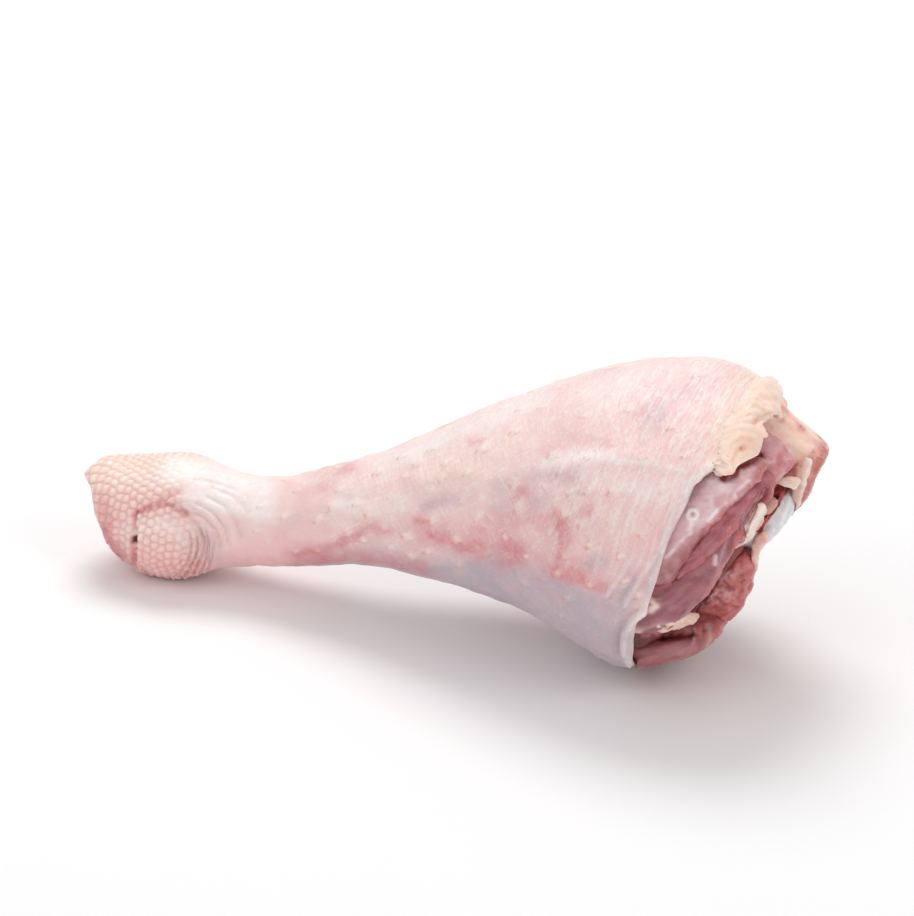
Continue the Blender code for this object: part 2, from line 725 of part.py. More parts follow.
def main():
    for old in list(bpy.data.objects):
        bpy.data.objects.remove(old)
    parts = bpy.data.collections.new("turkey_drumstick")
    cutters = bpy.data.collections.new("cutters")
    for collection in (parts, cutters):
        bpy.context.scene.collection.children.link(collection)

    skin = make_skin(parts, cutters)
    give_material(skin, "skin", SKIN_COLOUR, 0.45)
    keep_out = make_keep_out(cutters)
    pocket = round_blob("pocket", POCKET, POCKET_RADII, (0.0, 20.0, 20.0), cutters)
    bpy.context.view_layer.update()

    earlier = []
    for name, rings, material, colour, roughness in PIECES:
        piece = loft(name, rings(0.0), parts)
        give_material(piece, material, colour, roughness)
        own = [keep_out] if name.startswith(CLEAR_OF_SKIN) and name != "muscle_deep" else []
        own += [pocket] if name in ("muscle_under", "muscle_inner", "muscle_deep") else []
        bpy.context.view_layer.update()
        cut_away(piece, own + earlier)
        settle(piece)
        if name != "muscle_deep":
            earlier.append(loft(name + "_clearance", rings(FIT_GAP), cutters))
            bpy.context.view_layer.update()

    settle(skin)
    for cutter in list(cutters.objects):
        bpy.data.objects.remove(cutter)
    bpy.data.collections.remove(cutters)
    bpy.context.view_layer.update()
    centre_on_floor(parts.objects)


main()
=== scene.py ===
"""The looks of a raw turkey drumstick, lying on its side on a pale studio floor.

Lengths are in millimetres in this file, apart from the meshes themselves, which are in metres.
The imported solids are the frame: each piece here is grown from the solid that it stands for.
"""

from __future__ import annotations

import logging
import math
from dataclasses import dataclass
from enum import Enum

import bmesh
import bpy
import numpy as np
from mathutils import Matrix, Vector
from mathutils.bvhtree import BVHTree
from mathutils.kdtree import KDTree


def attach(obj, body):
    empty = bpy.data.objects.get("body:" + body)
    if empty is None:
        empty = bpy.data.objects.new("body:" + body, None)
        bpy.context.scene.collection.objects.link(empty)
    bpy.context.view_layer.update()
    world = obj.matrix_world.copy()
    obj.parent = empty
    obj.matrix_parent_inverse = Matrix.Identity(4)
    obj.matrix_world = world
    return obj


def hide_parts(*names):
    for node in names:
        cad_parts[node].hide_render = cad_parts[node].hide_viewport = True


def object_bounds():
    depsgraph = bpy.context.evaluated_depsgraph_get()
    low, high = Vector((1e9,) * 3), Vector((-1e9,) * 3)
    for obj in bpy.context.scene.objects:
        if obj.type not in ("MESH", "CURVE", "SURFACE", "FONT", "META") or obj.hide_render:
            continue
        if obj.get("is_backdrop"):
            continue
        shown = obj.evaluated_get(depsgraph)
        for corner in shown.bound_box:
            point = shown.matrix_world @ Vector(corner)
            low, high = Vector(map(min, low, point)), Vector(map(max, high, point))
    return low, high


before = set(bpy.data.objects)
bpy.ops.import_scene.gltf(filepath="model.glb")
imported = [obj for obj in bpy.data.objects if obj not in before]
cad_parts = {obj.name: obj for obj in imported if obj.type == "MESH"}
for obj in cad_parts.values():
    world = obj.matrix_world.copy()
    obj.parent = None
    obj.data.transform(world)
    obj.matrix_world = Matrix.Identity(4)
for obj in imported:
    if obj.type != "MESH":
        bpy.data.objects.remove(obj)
CAD_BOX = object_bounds()

LOG = logging.getLogger("drumstick")
MM = 0.001
BODY = "root"

Pixel = tuple[float, float]
Line = tuple[Pixel, ...]
Spot = tuple[float, float, float]
Colour = tuple[float, float, float, float]


# ---- numbers -------------------------------------------------------------------------------------


def ease(low: float, high: float, value: np.ndarray) -> np.ndarray:
    """A soft step.

    Args:
        low: the value at which it is 0.
        high: the value at which it is 1.
        value: what is measured.

    Returns:
        0 to 1, with no corners.
    """
    t = np.clip((value - low) / (high - low), 0.0, 1.0)
    return t * t * (3.0 - 2.0 * t)


def bell(distance: np.ndarray, width: float) -> np.ndarray:
    """A soft bump.

    Args:
        distance: how far from its middle.
        width: where it has fallen to about a third.

    Returns:
        1 in the middle, falling to 0.
    """
    return np.exp(-((distance / width) ** 2))


def window(half: int, width: float) -> np.ndarray:
    """Weights for a moving average.

    Args:
        half: how many neighbours it takes on each side.
        width: where the weights have fallen to about a third.

    Returns:
        The weights, which add up to 1.
    """
    weights = bell(np.arange(-half, half + 1), width)
    return weights / weights.sum()


class Unevenness:
    """Smooth random variation through space, the same in each run."""

    CELLS = 32
    OFFSET = 7.3
    LAYER_SHIFT = 31.0
    LAYERS_HIGH = 1.5

    def __init__(self, seed: int) -> None:
        """Args:
        seed: the number that it is drawn from.
        """
        draw = np.random.default_rng(seed)
        self.lattice = draw.uniform(-1.0, 1.0, (self.CELLS,) * 3)
        turn, _ = np.linalg.qr(draw.normal(size=(3, 3)))
        self.turn = turn

    def at(self, points: np.ndarray, size: float | Spot) -> np.ndarray:
        """One layer of it.

        Args:
            points: places, in millimetres.
            size: the size of its lumps, or its sizes along X, Y and Z.

        Returns:
            About -1 to 1 for each place.
        """
        place = (points / np.asarray(size, float)) @ self.turn + self.OFFSET
        cell = np.floor(place).astype(np.int64)
        part = place - cell
        part = part * part * (3.0 - 2.0 * part)
        total = np.zeros(len(points))
        for corner in range(8):
            step = np.array([corner & 1, corner >> 1 & 1, corner >> 2 & 1])
            i, j, k = ((cell + step) % self.CELLS).T
            share = np.prod(np.where(step == 1, part, 1.0 - part), axis=1)
            total += share * self.lattice[i, j, k]
        return total

    def rough(self, points: np.ndarray, size: float, layers: int = 3) -> np.ndarray:
        """Several layers of it, each half the size and height of the last.

        Args:
            points: places, in millimetres.
            size: the size of its largest lumps.
            layers: how many layers.

        Returns:
            About -1 to 1 for each place.
        """
        total = sum(self.at(points + self.LAYER_SHIFT * n, size / 2**n) / 2**n for n in range(layers))
        return total / self.LAYERS_HIGH


# ---- the photograph's view -----------------------------------------------------------------------


@dataclass(frozen=True)
class PhotoView:
    """Where the photograph was taken from, and what each of its pixels sees."""

    width: int = 914
    height: int = 916
    azimuth: float = 21.0
    elevation: float = 28.0
    pixels_per_mm: float = 3.165
    centre_mm: Spot = (3.46, -0.36, 0.0)
    centre_pixel: Pixel = (457.0, 620.6)
    distance: float = 5200.0
    sensor: float = 36.0
    far_clip: float = 100.0
    grazing: tuple[float, float] = (0.02, 0.25)

    def axes(self) -> tuple[Vector, Vector, Vector]:
        """Works out which way the camera is turned.

        Returns:
            Its right, its up and its back.
        """
        turn, tilt = math.radians(self.azimuth), math.radians(self.elevation)
        right = Vector((math.cos(turn), math.sin(turn), 0.0))
        back = Vector((math.sin(turn) * math.cos(tilt), -math.cos(turn) * math.cos(tilt), math.sin(tilt)))
        return right, back.cross(right), back

    def aim(self) -> Vector:
        """Finds what the camera looks at.

        Returns:
            The point in the middle of the picture, in millimetres.
        """
        right, up, _ = self.axes()
        across = (self.width / 2 - self.centre_pixel[0]) / self.pixels_per_mm
        rise = (self.centre_pixel[1] - self.height / 2) / self.pixels_per_mm
        return Vector(self.centre_mm) + right * across + up * rise

    def pixels(self, points: np.ndarray) -> np.ndarray:
        """Where points show in the photograph.

        Args:
            points: places, in millimetres.

        Returns:
            A column pair of pixel coordinates.
        """
        right, up, back = (np.array(axis) for axis in self.axes())
        away = points - np.array(self.aim())
        near = self.distance / (self.distance - away @ back)
        x = self.width / 2 + away @ right * near * self.pixels_per_mm
        y = self.height / 2 - away @ up * near * self.pixels_per_mm
        return np.stack([x, y], axis=1)

    def facing(self, normals: np.ndarray) -> np.ndarray:
        """How much a surface faces the camera, 0 to 1, from its normals."""
        return ease(*self.grazing, normals @ np.array(self.axes()[2]))

    def place_camera(self) -> None:
        """Adds the camera and makes it the scene's."""
        right, up, back = self.axes()
        lens = bpy.data.cameras.new("camera")
        lens.sensor_width = self.sensor
        lens.lens = self.sensor * self.distance / (self.width / self.pixels_per_mm)
        lens.clip_end = self.far_clip
        camera = bpy.data.objects.new("camera", lens)
        bpy.context.scene.collection.objects.link(camera)
        turned = Matrix((right, up, back)).transposed().to_4x4()
        turned.translation = (self.aim() + back * self.distance) * MM
        camera.matrix_world = turned
        bpy.context.scene.camera = camera


VIEW = PhotoView()


def stroke_distance(pixels: np.ndarray, line: Line) -> np.ndarray:
    """How far each place lies from a drawn line, as the photograph shows it.

    Args:
        pixels: pixel coordinates of the places.
        line: the line's points, in pixels; one point is a dot.

    Returns:
        The distances, in pixels.
    """
    nearest = np.full(len(pixels), np.inf)
    for start, end in zip(line, line[1:] or line):
        a, way = np.array(start, float), np.array(end, float) - np.array(start, float)
        length = max(float(way @ way), 1e-9)
        share = np.clip((pixels - a) @ way / length, 0.0, 1.0)
        nearest = np.minimum(nearest, np.linalg.norm(pixels - a - share[:, None] * way, axis=1))
    return nearest


WOBBLE = Unevenness(3)
WOBBLE_SIZES = (1.4, 4.0)
BROAD_WOBBLE = 0.6


# ---- meshes --------------------------------------------------------------------------------------


class Sculpt:
    """A mesh object whose points are moved in code, in millimetres."""

    STROKE_WOBBLE = 0.35
    MOST_WOBBLE = 2.0
    END_FADE = 3.0
    TIE = 0.001

    def __init__(self, piece: bpy.types.Object) -> None:
        """Args:
        piece: the mesh object, with its place in its mesh.
        """
        self.piece = piece
        self.read()

    def read(self) -> None:
        """Reads the points and normals again, after a change to the mesh."""
        mesh = self.piece.data
        count = len(mesh.vertices)
        flat = np.empty(count * 3)
        mesh.vertices.foreach_get("co", flat)
        self.points = flat.reshape(-1, 3) / MM
        mesh.vertex_normals.foreach_get("vector", flat)
        self.normals = flat.reshape(-1, 3).copy()
        self.pixels = VIEW.pixels(self.points)
        self.facing = VIEW.facing(self.normals)
        small, large = (WOBBLE.at(self.points, size) for size in WOBBLE_SIZES)
        self.wobble = small + BROAD_WOBBLE * large

    def write(self) -> None:
        """Puts the points back into the mesh."""
        self.piece.data.vertices.foreach_set("co", (self.points * MM).astype(np.float32).ravel())
        self.piece.data.update()
        self.read()

    def raise_by(self, height: np.ndarray) -> None:
        """Moves each point along its normal, by that many millimetres."""
        self.points = self.points + self.normals * height[:, None]
        self.write()

    def store(self, name: str, values: np.ndarray) -> None:
        """Keeps a number for each point, for the finish to read.

        Args:
            name: the attribute's name.
            values: a number for each point.
        """
        kept = self.piece.data.attributes.get(name)
        kept = kept or self.piece.data.attributes.new(name, "FLOAT", "POINT")
        kept.data.foreach_set("value", np.asarray(values, np.float32))

    def take(self, name: str) -> np.ndarray:
        """Reads such numbers back, and drops them from the mesh.

        Args:
            name: the attribute's name.

        Returns:
            The number of each point.
        """
        kept = self.piece.data.attributes[name]
        values = np.empty(len(self.points), np.float32)
        kept.data.foreach_get("value", values)
        self.piece.data.attributes.remove(kept)
        return values.astype(float)

    def stroke(self, line: Line, width: float) -> np.ndarray:
        """A soft mark along a line that the photograph shows on this piece.

        Args:
            line: the line's points, in pixels.
            width: its half width, in pixels.

        Returns:
            0 to 1 for each point.
        """
        uneven = min(self.STROKE_WOBBLE * width, self.MOST_WOBBLE)
        away = stroke_distance(self.pixels, line) + self.wobble * uneven
        return bell(np.maximum(away, 0.0), width) * self.facing

    def press(self, line: Line, ragged: float = 0.0, soft: float = 1.2) -> None:
        """Presses in whatever shows beyond a line that has the piece on its left.

        Args:
            line: the line's points, in pixels.
            ragged: how unevenly it is pressed, in pixels.
            soft: how gently it is pressed, in pixels.
        """
        count, last = len(self.points), len(line) - 2
        best, beyond, held = np.full(count, np.inf), np.zeros(count), np.zeros(count)
        outward = np.zeros((count, 2))
        for number, (start, end) in enumerate(zip(line, line[1:])):
            a, way = np.array(start, float), np.array(end, float) - np.array(start, float)
            length = math.sqrt(way @ way)
            along = (self.pixels - a) @ way / length
            away = self.pixels - a - (np.clip(along, 0.0, length) / length)[:, None] * way
            distance = np.linalg.norm(away, axis=1)
            normal = np.array([-way[1], way[0]]) / length
            side = away @ normal
            ranked = distance - self.TIE * np.abs(side)
            closer = ranked < best
            best = np.where(closer, ranked, best)
            sign = np.where(side < 0.0, -1.0, 1.0)
            beyond = np.where(closer, sign * distance, beyond)
            straight = (distance < self.TIE)[:, None]
            radial = sign[:, None] * away / np.maximum(distance, self.TIE)[:, None]
            outward = np.where(closer[:, None], np.where(straight, normal, radial), outward)
            over = np.where(number == 0, np.maximum(-along, 0.0), 0.0)
            over = over + np.where(number == last, np.maximum(along - length, 0.0), 0.0)
            held = np.where(closer, bell(over, self.END_FADE), held)
        beyond = beyond + ragged * self.wobble
        pressed = -soft * np.logaddexp(0.0, -beyond / soft)
        move = outward * ((pressed - beyond) * held)[:, None] / VIEW.pixels_per_mm
        right, up, _ = (np.array(axis) for axis in VIEW.axes())
        self.points = self.points + move[:, :1] * right - move[:, 1:] * up
        self.write()


class Bench:
    """The steps of modelling by hand that the pieces share."""

    SAME_POINT = 1e-6

    @staticmethod
    def only(piece: bpy.types.Object) -> None:
        """Selects one piece alone.

        Args:
            piece: the object.
        """
        for other in bpy.context.selected_objects:
            other.select_set(False)
        piece.select_set(True)
        bpy.context.view_layer.objects.active = piece

    @staticmethod
    def modify(piece: bpy.types.Object, kind: str, **settings: object) -> None:
        """Adds a modifier and applies it.

        Args:
            piece: the object.
            kind: the modifier's type.
            settings: its settings, by name.
        """
        Bench.only(piece)
        added = piece.modifiers.new(kind.lower(), kind)
        for name, value in settings.items():
            setattr(added, name, value)
        bpy.ops.object.modifier_apply(modifier=added.name)

    @staticmethod
    def outward(piece: bpy.types.Object) -> None:
        """Turns all the faces outwards.

        Args:
            piece: the object.
        """
        Bench.only(piece)
        bpy.ops.object.mode_set(mode="EDIT")
        bpy.ops.mesh.select_all(action="SELECT")
        bpy.ops.mesh.normals_make_consistent(inside=False)
        bpy.ops.object.mode_set(mode="OBJECT")
        piece.data.shade_smooth()

    @staticmethod
    def copy_of(node: str, name: str) -> bpy.types.Object:
        """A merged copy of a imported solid.

        Args:
            node: the solid's name.
            name: the copy's name.

        Returns:
            The new object.
        """
        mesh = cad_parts[node].data.copy()
        mesh.materials.clear()
        shape = bmesh.new()
        shape.from_mesh(mesh)
        bmesh.ops.remove_doubles(shape, verts=shape.verts, dist=Bench.SAME_POINT)
        shape.to_mesh(mesh)
        shape.free()
        mesh.name = name
        copy = bpy.data.objects.new(name, mesh)
        bpy.context.scene.collection.objects.link(copy)
        return copy

    @staticmethod
    def soften(piece: bpy.types.Object, cell: float, passes: int, splits: int) -> None:
        """Turns a faceted solid into a fine, smooth one.

        Args:
            piece: the object.
            cell: the size of the coarse faces, in millimetres.
            passes: how often they are smoothed.
            splits: how often each is then split in four.
        """
        Bench.modify(piece, "REMESH", mode="VOXEL", voxel_size=cell * MM)
        Bench.modify(piece, "SMOOTH", factor=0.5, iterations=passes)
        if splits:
            Bench.modify(piece, "SUBSURF", levels=splits, render_levels=splits)
        piece.data.shade_smooth()

    @staticmethod
    def paint(piece: bpy.types.Object, material: bpy.types.Material) -> None:
        """Gives a piece its finish, in place of any other."""
        piece.data.materials.clear()
        piece.data.materials.append(material)

    @staticmethod
    def keep(piece: bpy.types.Object, slot: str, *nodes: str) -> None:
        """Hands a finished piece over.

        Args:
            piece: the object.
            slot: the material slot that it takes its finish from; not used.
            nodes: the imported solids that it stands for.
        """
        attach(piece, BODY)
        if nodes:
            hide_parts(*nodes)
        LOG.info("%s: %d faces", piece.name, len(piece.data.polygons))


# ---- shader maths --------------------------------------------------------------------------------


def tint(red: int, green: int, blue: int) -> Colour:
    """Makes a colour linear, for a shader.

    Args:
        red: how much red a picture of it shows, 0 to 255.
        green: how much green.
        blue: how much blue.

    Returns:
        The four numbers that a socket takes.
    """
    linear = [
        c / 12.92 if c <= 0.04045 else ((c + 0.055) / 1.055) ** 2.4
        for c in (red / 255, green / 255, blue / 255)
    ]
    return (*linear, 1.0)


class Amount:
    """A number that varies over a surface, for use in expressions."""

    def __init__(self, recipe: Recipe, socket: bpy.types.NodeSocket) -> None:
        """Args:
        recipe: the material that it belongs to.
        socket: the output that carries it.
        """
        self.recipe, self.socket = recipe, socket

    def _with(self, operation: str, first: object, second: object) -> Amount:
        """One Math node on two values."""
        node = self.recipe.node("ShaderNodeMath", {"operation": operation}, {0: first, 1: second})
        return Amount(self.recipe, node.outputs[0])

    def __add__(self, other: object) -> Amount:
        """self + other."""
        return self._with("ADD", self, other)

    __radd__ = __add__

    def __sub__(self, other: object) -> Amount:
        """self - other."""
        return self._with("SUBTRACT", self, other)

    def __rsub__(self, other: object) -> Amount:
        """other - self."""
        return self._with("SUBTRACT", other, self)

    def __mul__(self, other: object) -> Amount:
        """self * other."""
        return self._with("MULTIPLY", self, other)

    __rmul__ = __mul__

    def step(self, low: float, high: float) -> Amount:
        """A soft step.

        Args:
            low: the value at which it is 0.
            high: the value at which it is 1.

        Returns:
            The step.
        """
        node = self.recipe.node(
            "ShaderNodeMapRange",
            {"interpolation_type": "SMOOTHSTEP"},
            {0: self, 1: low, 2: high, 3: 0.0, 4: 1.0},
        )
        return Amount(self.recipe, node.outputs[0])


@dataclass(frozen=True)
class Glow:
    """How light goes into a surface and comes back out of it, and how its wet coat shines."""

    weight: float
    radius: Spot
    depth: float
    coat_roughness: float
    specular: float


class Gloss(Enum):
    """How wet a surface looks: its roughness and its wet coat."""

    MOIST_SKIN = (0.40, 0.25)
    MOIST_FAT = (0.42, 0.15)
    WET_FLESH = (0.38, 0.30)
    WET_GRISTLE = (0.28, 0.40)


class Recipe:
    """A material that is written as expressions."""

    PER_METRE = 1000.0
    NOISE_ROUGHNESS = 0.55

    def __init__(self, name: str) -> None:
        """Args:
        name: the material's name.
        """
        self.material = bpy.data.materials.new(name)
        self.material.use_nodes = True
        self.tree = self.material.node_tree
        self.shader = self.tree.nodes["Principled BSDF"]

    def node(self, kind: str, settings: dict[str, object], values: dict[object, object]) -> bpy.types.Node:
        """Adds any node.

        Args:
            kind: its type.
            settings: its own settings, set first.
            values: what goes into its sockets, by number or name: a value, a colour or an output.

        Returns:
            The node.
        """
        made = self.tree.nodes.new(kind)
        for name, value in settings.items():
            setattr(made, name, value)
        for key, value in values.items():
            self.feed(made.inputs[key], value)
        return made

    def feed(self, socket: bpy.types.NodeSocket, value: object) -> None:
        """Sets a socket to a plain value, or links an output to it.

        Args:
            socket: the input.
            value: what goes into it: a value, a colour or an output.
        """
        if isinstance(value, Amount):
            value = value.socket
        if isinstance(value, bpy.types.NodeSocket):
            self.tree.links.new(value, socket)
        else:
            socket.default_value = value

    def kept(self, name: str) -> Amount:
        """A number that the mesh keeps for each point."""
        node = self.node("ShaderNodeAttribute", {"attribute_name": name}, {})
        return Amount(self, node.outputs["Fac"])

    def place(self, scale: Spot = (1, 1, 1), lean: float = 0.0) -> bpy.types.NodeSocket:
        """The place on the object, stretched and turned.

        Args:
            scale: how much faster a pattern runs along each axis.
            lean: degrees about Y.

        Returns:
            The output that carries it.
        """
        here = self.node("ShaderNodeTexCoord", {}, {}).outputs["Object"]
        turned = self.node(
            "ShaderNodeMapping",
            {"vector_type": "POINT"},
            {"Vector": here, "Rotation": (0.0, math.radians(lean), 0.0)},
        )
        stretched = self.node(
            "ShaderNodeVectorMath", {"operation": "MULTIPLY"}, {0: turned.outputs[0], 1: scale}
        )
        return stretched.outputs[0]

    def noise(self, size: float, where: bpy.types.NodeSocket | None = None, detail: float = 2.0,
              twist: float = 0.0) -> Amount:
        """Soft random variation, about 0.5 on average.

        Args:
            size: the size of its lumps, in millimetres.
            where: the place that it reads, or None for the object's own.
            detail: how many finer layers it has.
            twist: how much it is distorted.

        Returns:
            The amount.
        """
        node = self.node(
            "ShaderNodeTexNoise",
            {"noise_dimensions": "3D"},
            {
                "Vector": where or self.place(),
                "Scale": self.PER_METRE / size,
                "Detail": detail,
                "Roughness": self.NOISE_ROUGHNESS,
                "Distortion": twist,
            },
        )
        return Amount(self, node.outputs[0])

    def mix(self, share: object, first: object, second: object) -> bpy.types.NodeSocket:
        """A colour between two.

        Args:
            share: 0 for the first, 1 for the second.
            first: a colour or an output.
            second: a colour or an output.

        Returns:
            The output that carries it.
        """
        node = self.node(
            "ShaderNodeMix", {"data_type": "RGBA", "clamp_factor": True}, {0: share, 6: first, 7: second}
        )
        return node.outputs[2]

    def bumps(self, *layers: tuple[Amount, float]) -> bpy.types.NodeSocket:
        """Makes a normal from heights.

        Args:
            layers: the heights, each 0 to 1, with how high it is in millimetres.

        Returns:
            The output that carries the normal.
        """
        normal = None
        for height, rise in layers:
            values = {"Height": height, "Strength": 1.0, "Distance": rise * MM}
            if normal is not None:
                values["Normal"] = normal
            normal = self.node("ShaderNodeBump", {}, values).outputs[0]
        return normal

    def finish(self, colour: object, roughness: object, normal: bpy.types.NodeSocket | None,
               **fixed: object) -> bpy.types.Material:
        """Joins everything to the shader.

        Args:
            colour: the base colour.
            roughness: the roughness.
            normal: the normal, or None.
            fixed: plain values of other inputs, with _ for each space in their names.

        Returns:
            The material.
        """
        self.feed(self.shader.inputs["Base Color"], colour)
        self.feed(self.shader.inputs["Roughness"], roughness)
        if normal is not None:
            self.feed(self.shader.inputs["Normal"], normal)
        for name, value in fixed.items():
            self.shader.inputs[name.replace("_", " ")].default_value = value
        return self.material

    def wet(self, colour: object, uneven: Amount, normal: bpy.types.NodeSocket, gloss: Gloss, glow: Glow,
            ) -> bpy.types.Material:
        """Joins everything to the shader of something wet that light goes into.

        Args:
            colour: the base colour.
            uneven: what is added to the roughness.
            normal: the normal.
            gloss: how wet it looks.
            glow: how light goes into it.

        Returns:
            The material.
        """
        rough, coat = gloss.value
        return self.finish(
            colour,
            rough + uneven,
            normal,
            Subsurface_Weight=glow.weight,
            Subsurface_Radius=glow.radius,
            Subsurface_Scale=glow.depth,
            Coat_Weight=coat,
            Coat_Roughness=glow.coat_roughness,
            Specular_IOR_Level=glow.specular,
        )


# ---- finishes ------------------------------------------------------------------------------------


@dataclass(frozen=True)
class SkinFinish:
    """Raw poultry skin: nearly white where it is dry and lit, pink and lilac where flesh shows through, with
    painted lilac shade on its underside and painted highlights on its crests, ridges and top.
    """

    # White of the painted highlights on crests, ridges and the top.
    pale_highlight: Colour = tint(255, 242, 238)
    plain: Colour = tint(254, 222, 217)
    # Pink, also painted as shade in crease valleys and on the underside.
    pink: Colour = tint(241, 184, 184)
    # Lilac of thin skin over dark meat, also painted as shade on the underside.
    lilac_and_shade: Colour = tint(187, 174, 184)
    blush: Colour = tint(214, 124, 130)
    cream: Colour = tint(254, 230, 208)
    # Pink of the creases and scale grooves, partly painted shade.
    groove: Colour = tint(222, 150, 146)
    # Orange of the follicle pits, also painted as the shadow below each mound.
    pore: Colour = tint(232, 140, 104)
    # Dark red of the hock's hole, painted as its shade, and of blood on the wet patch.
    blood_and_shade: Colour = tint(96, 10, 8)
    quill: Colour = tint(255, 232, 222)
    glint: Colour = tint(255, 252, 250)
    hoop_lean: float = -13.0
    weave_leans: tuple[float, float] = (38.0, -40.0)
    hoop_rise: float = 0.60
    weave_rises: tuple[float, float] = (0.26, 0.24)
    quill_rise: float = 0.44
    speck_rise: float = 0.14
    grain_rise: float = 0.10
    glow: Glow = Glow(0.22, (1.0, 0.42, 0.30), 0.0035, 0.3, 0.42)

    def hoops(self, make: Recipe) -> Amount:
        """The fine creases that run round the leg."""
        return make.noise(1.0, make.place((1.0, 0.10, 0.10), lean=self.hoop_lean), detail=2.0, twist=0.3)

    def weave(self, make: Recipe) -> list[Amount]:
        """The slanting creases that cross on the thick end.

        Args:
            make: the recipe that they go into.

        Returns:
            The two sets of creases.
        """
        return [
            make.noise(0.85, make.place((0.2, 0.2, 1.0), lean=lean), detail=1.0, twist=0.3)
            for lean in self.weave_leans
        ]

    @staticmethod
    def quills(make: Recipe) -> tuple[Amount, Amount]:
        """The small mounds that the feathers left.

        Args:
            make: the recipe that they go into.

        Returns:
            The mounds and the pits at their roots, 0 to 1.
        """
        along, across, there = (make.kept(name) for name in ("quill_along", "quill_across", "quill"))
        uneven = make.noise(1.6, detail=2.0) - 0.5
        along, across = along + 1.6 * uneven, across + 1.4 * (make.noise(1.9, detail=2.0) - 0.5)
        wide = across * across
        body = along.step(-2.1, 0.5) * (1.0 - along.step(0.0, 3.2)) * (1.0 - wide.step(0.0, 2.2)) * there
        past = along + 1.7
        root = (1.0 - (past * past + 0.8 * wide).step(0.0, 0.7)) * there
        return body, root

    def material(self) -> bpy.types.Material:
        """Makes the material. It reads the masks that the skin's mesh keeps.

        Returns:
            The material.
        """
        make = Recipe("raw_skin")
        broad = make.noise(22.0, detail=3.0)
        patch = make.noise(8.0, detail=5.0, twist=0.6)
        speck = make.noise(1.5, detail=3.0)
        hoops = self.hoops(make)
        cross, slant = self.weave(make)
        weave = cross.step(0.35, 0.65) * slant.step(0.35, 0.65)
        rosy = make.kept("pink") * (0.3 + patch) + broad.step(0.4, 0.7) * 0.25
        colour = make.mix(rosy, self.plain, self.pink)
        # Lilac: the skin's own tint, and painted shade on the underside.
        colour = make.mix(make.kept("lilac_and_shade") * (0.45 + 0.9 * patch), colour, self.lilac_and_shade)
        fine = make.noise(2.8, detail=4.0, twist=0.8)
        colour = make.mix(make.kept("blush") * (patch + fine - 0.25), colour, self.blush)
        colour = make.mix(make.kept("cream") * (0.5 + 0.5 * speck), colour, self.cream)
        # Creases and scale grooves: their own pink, and painted shade.
        colour = make.mix(make.kept("groove"), colour, self.groove)
        # Painted shade in the valleys of the fine creases, in pink.
        valley_shade = (0.54 - hoops).step(0.0, 0.2) * make.kept("hoops")
        valley_shade = valley_shade + (0.45 - weave).step(0.0, 0.45) * make.kept("cross") * 0.8
        colour = make.mix(valley_shade * 0.22, colour, self.pink)
        # Painted highlights on the crests of the fine creases, and in the highlight zones.
        lines = hoops.step(0.48, 0.66) * make.kept("hoops") + weave.step(0.3, 0.8) * make.kept("cross") * 0.7
        colour = make.mix(lines * 0.30 + make.kept("pale_highlight") * (0.25 + 1.0 * fine), colour, self.pale_highlight)
        colour = make.mix(speck.step(0.55, 0.8) * 0.16, colour, self.pink)
        body, root = self.quills(make)
        # The mounds' cream is fainter in the painted lilac shade.
        colour = make.mix(body * (0.25 + 0.9 * fine) * (1.0 - 0.7 * make.kept("lilac_and_shade")), colour, self.quill)
        # The pits at the mounds' roots: the follicles' orange, also a painted shadow below each mound.
        colour = make.mix(root * (0.9 * patch), colour, self.pore)
        # Painted glints, beaded along the crease crests in the highlight zones.
        glint_beads = make.noise(1.1, detail=2.0).step(0.56, 0.72) * make.kept("pale_highlight") * hoops.step(0.45, 0.6)
        colour = make.mix(glint_beads * 0.7, colour, self.glint)
        # Dark red: painted shade in the hock's hole, and blood on the wet patch.
        colour = make.mix(make.kept("blood_and_shade"), colour, self.blood_and_shade)
        grain = make.noise(0.6, detail=2.0)
        normal = make.bumps(
            (hoops * make.kept("hoops"), self.hoop_rise),
            (cross * make.kept("cross"), self.weave_rises[0]),
            (slant * make.kept("cross"), self.weave_rises[1]),
            (body - 0.25 * root, self.quill_rise),
            (speck, self.speck_rise),
            (grain, self.grain_rise),
        )
        return make.wet(colour, 0.14 * patch, normal, Gloss.MOIST_SKIN, self.glow)


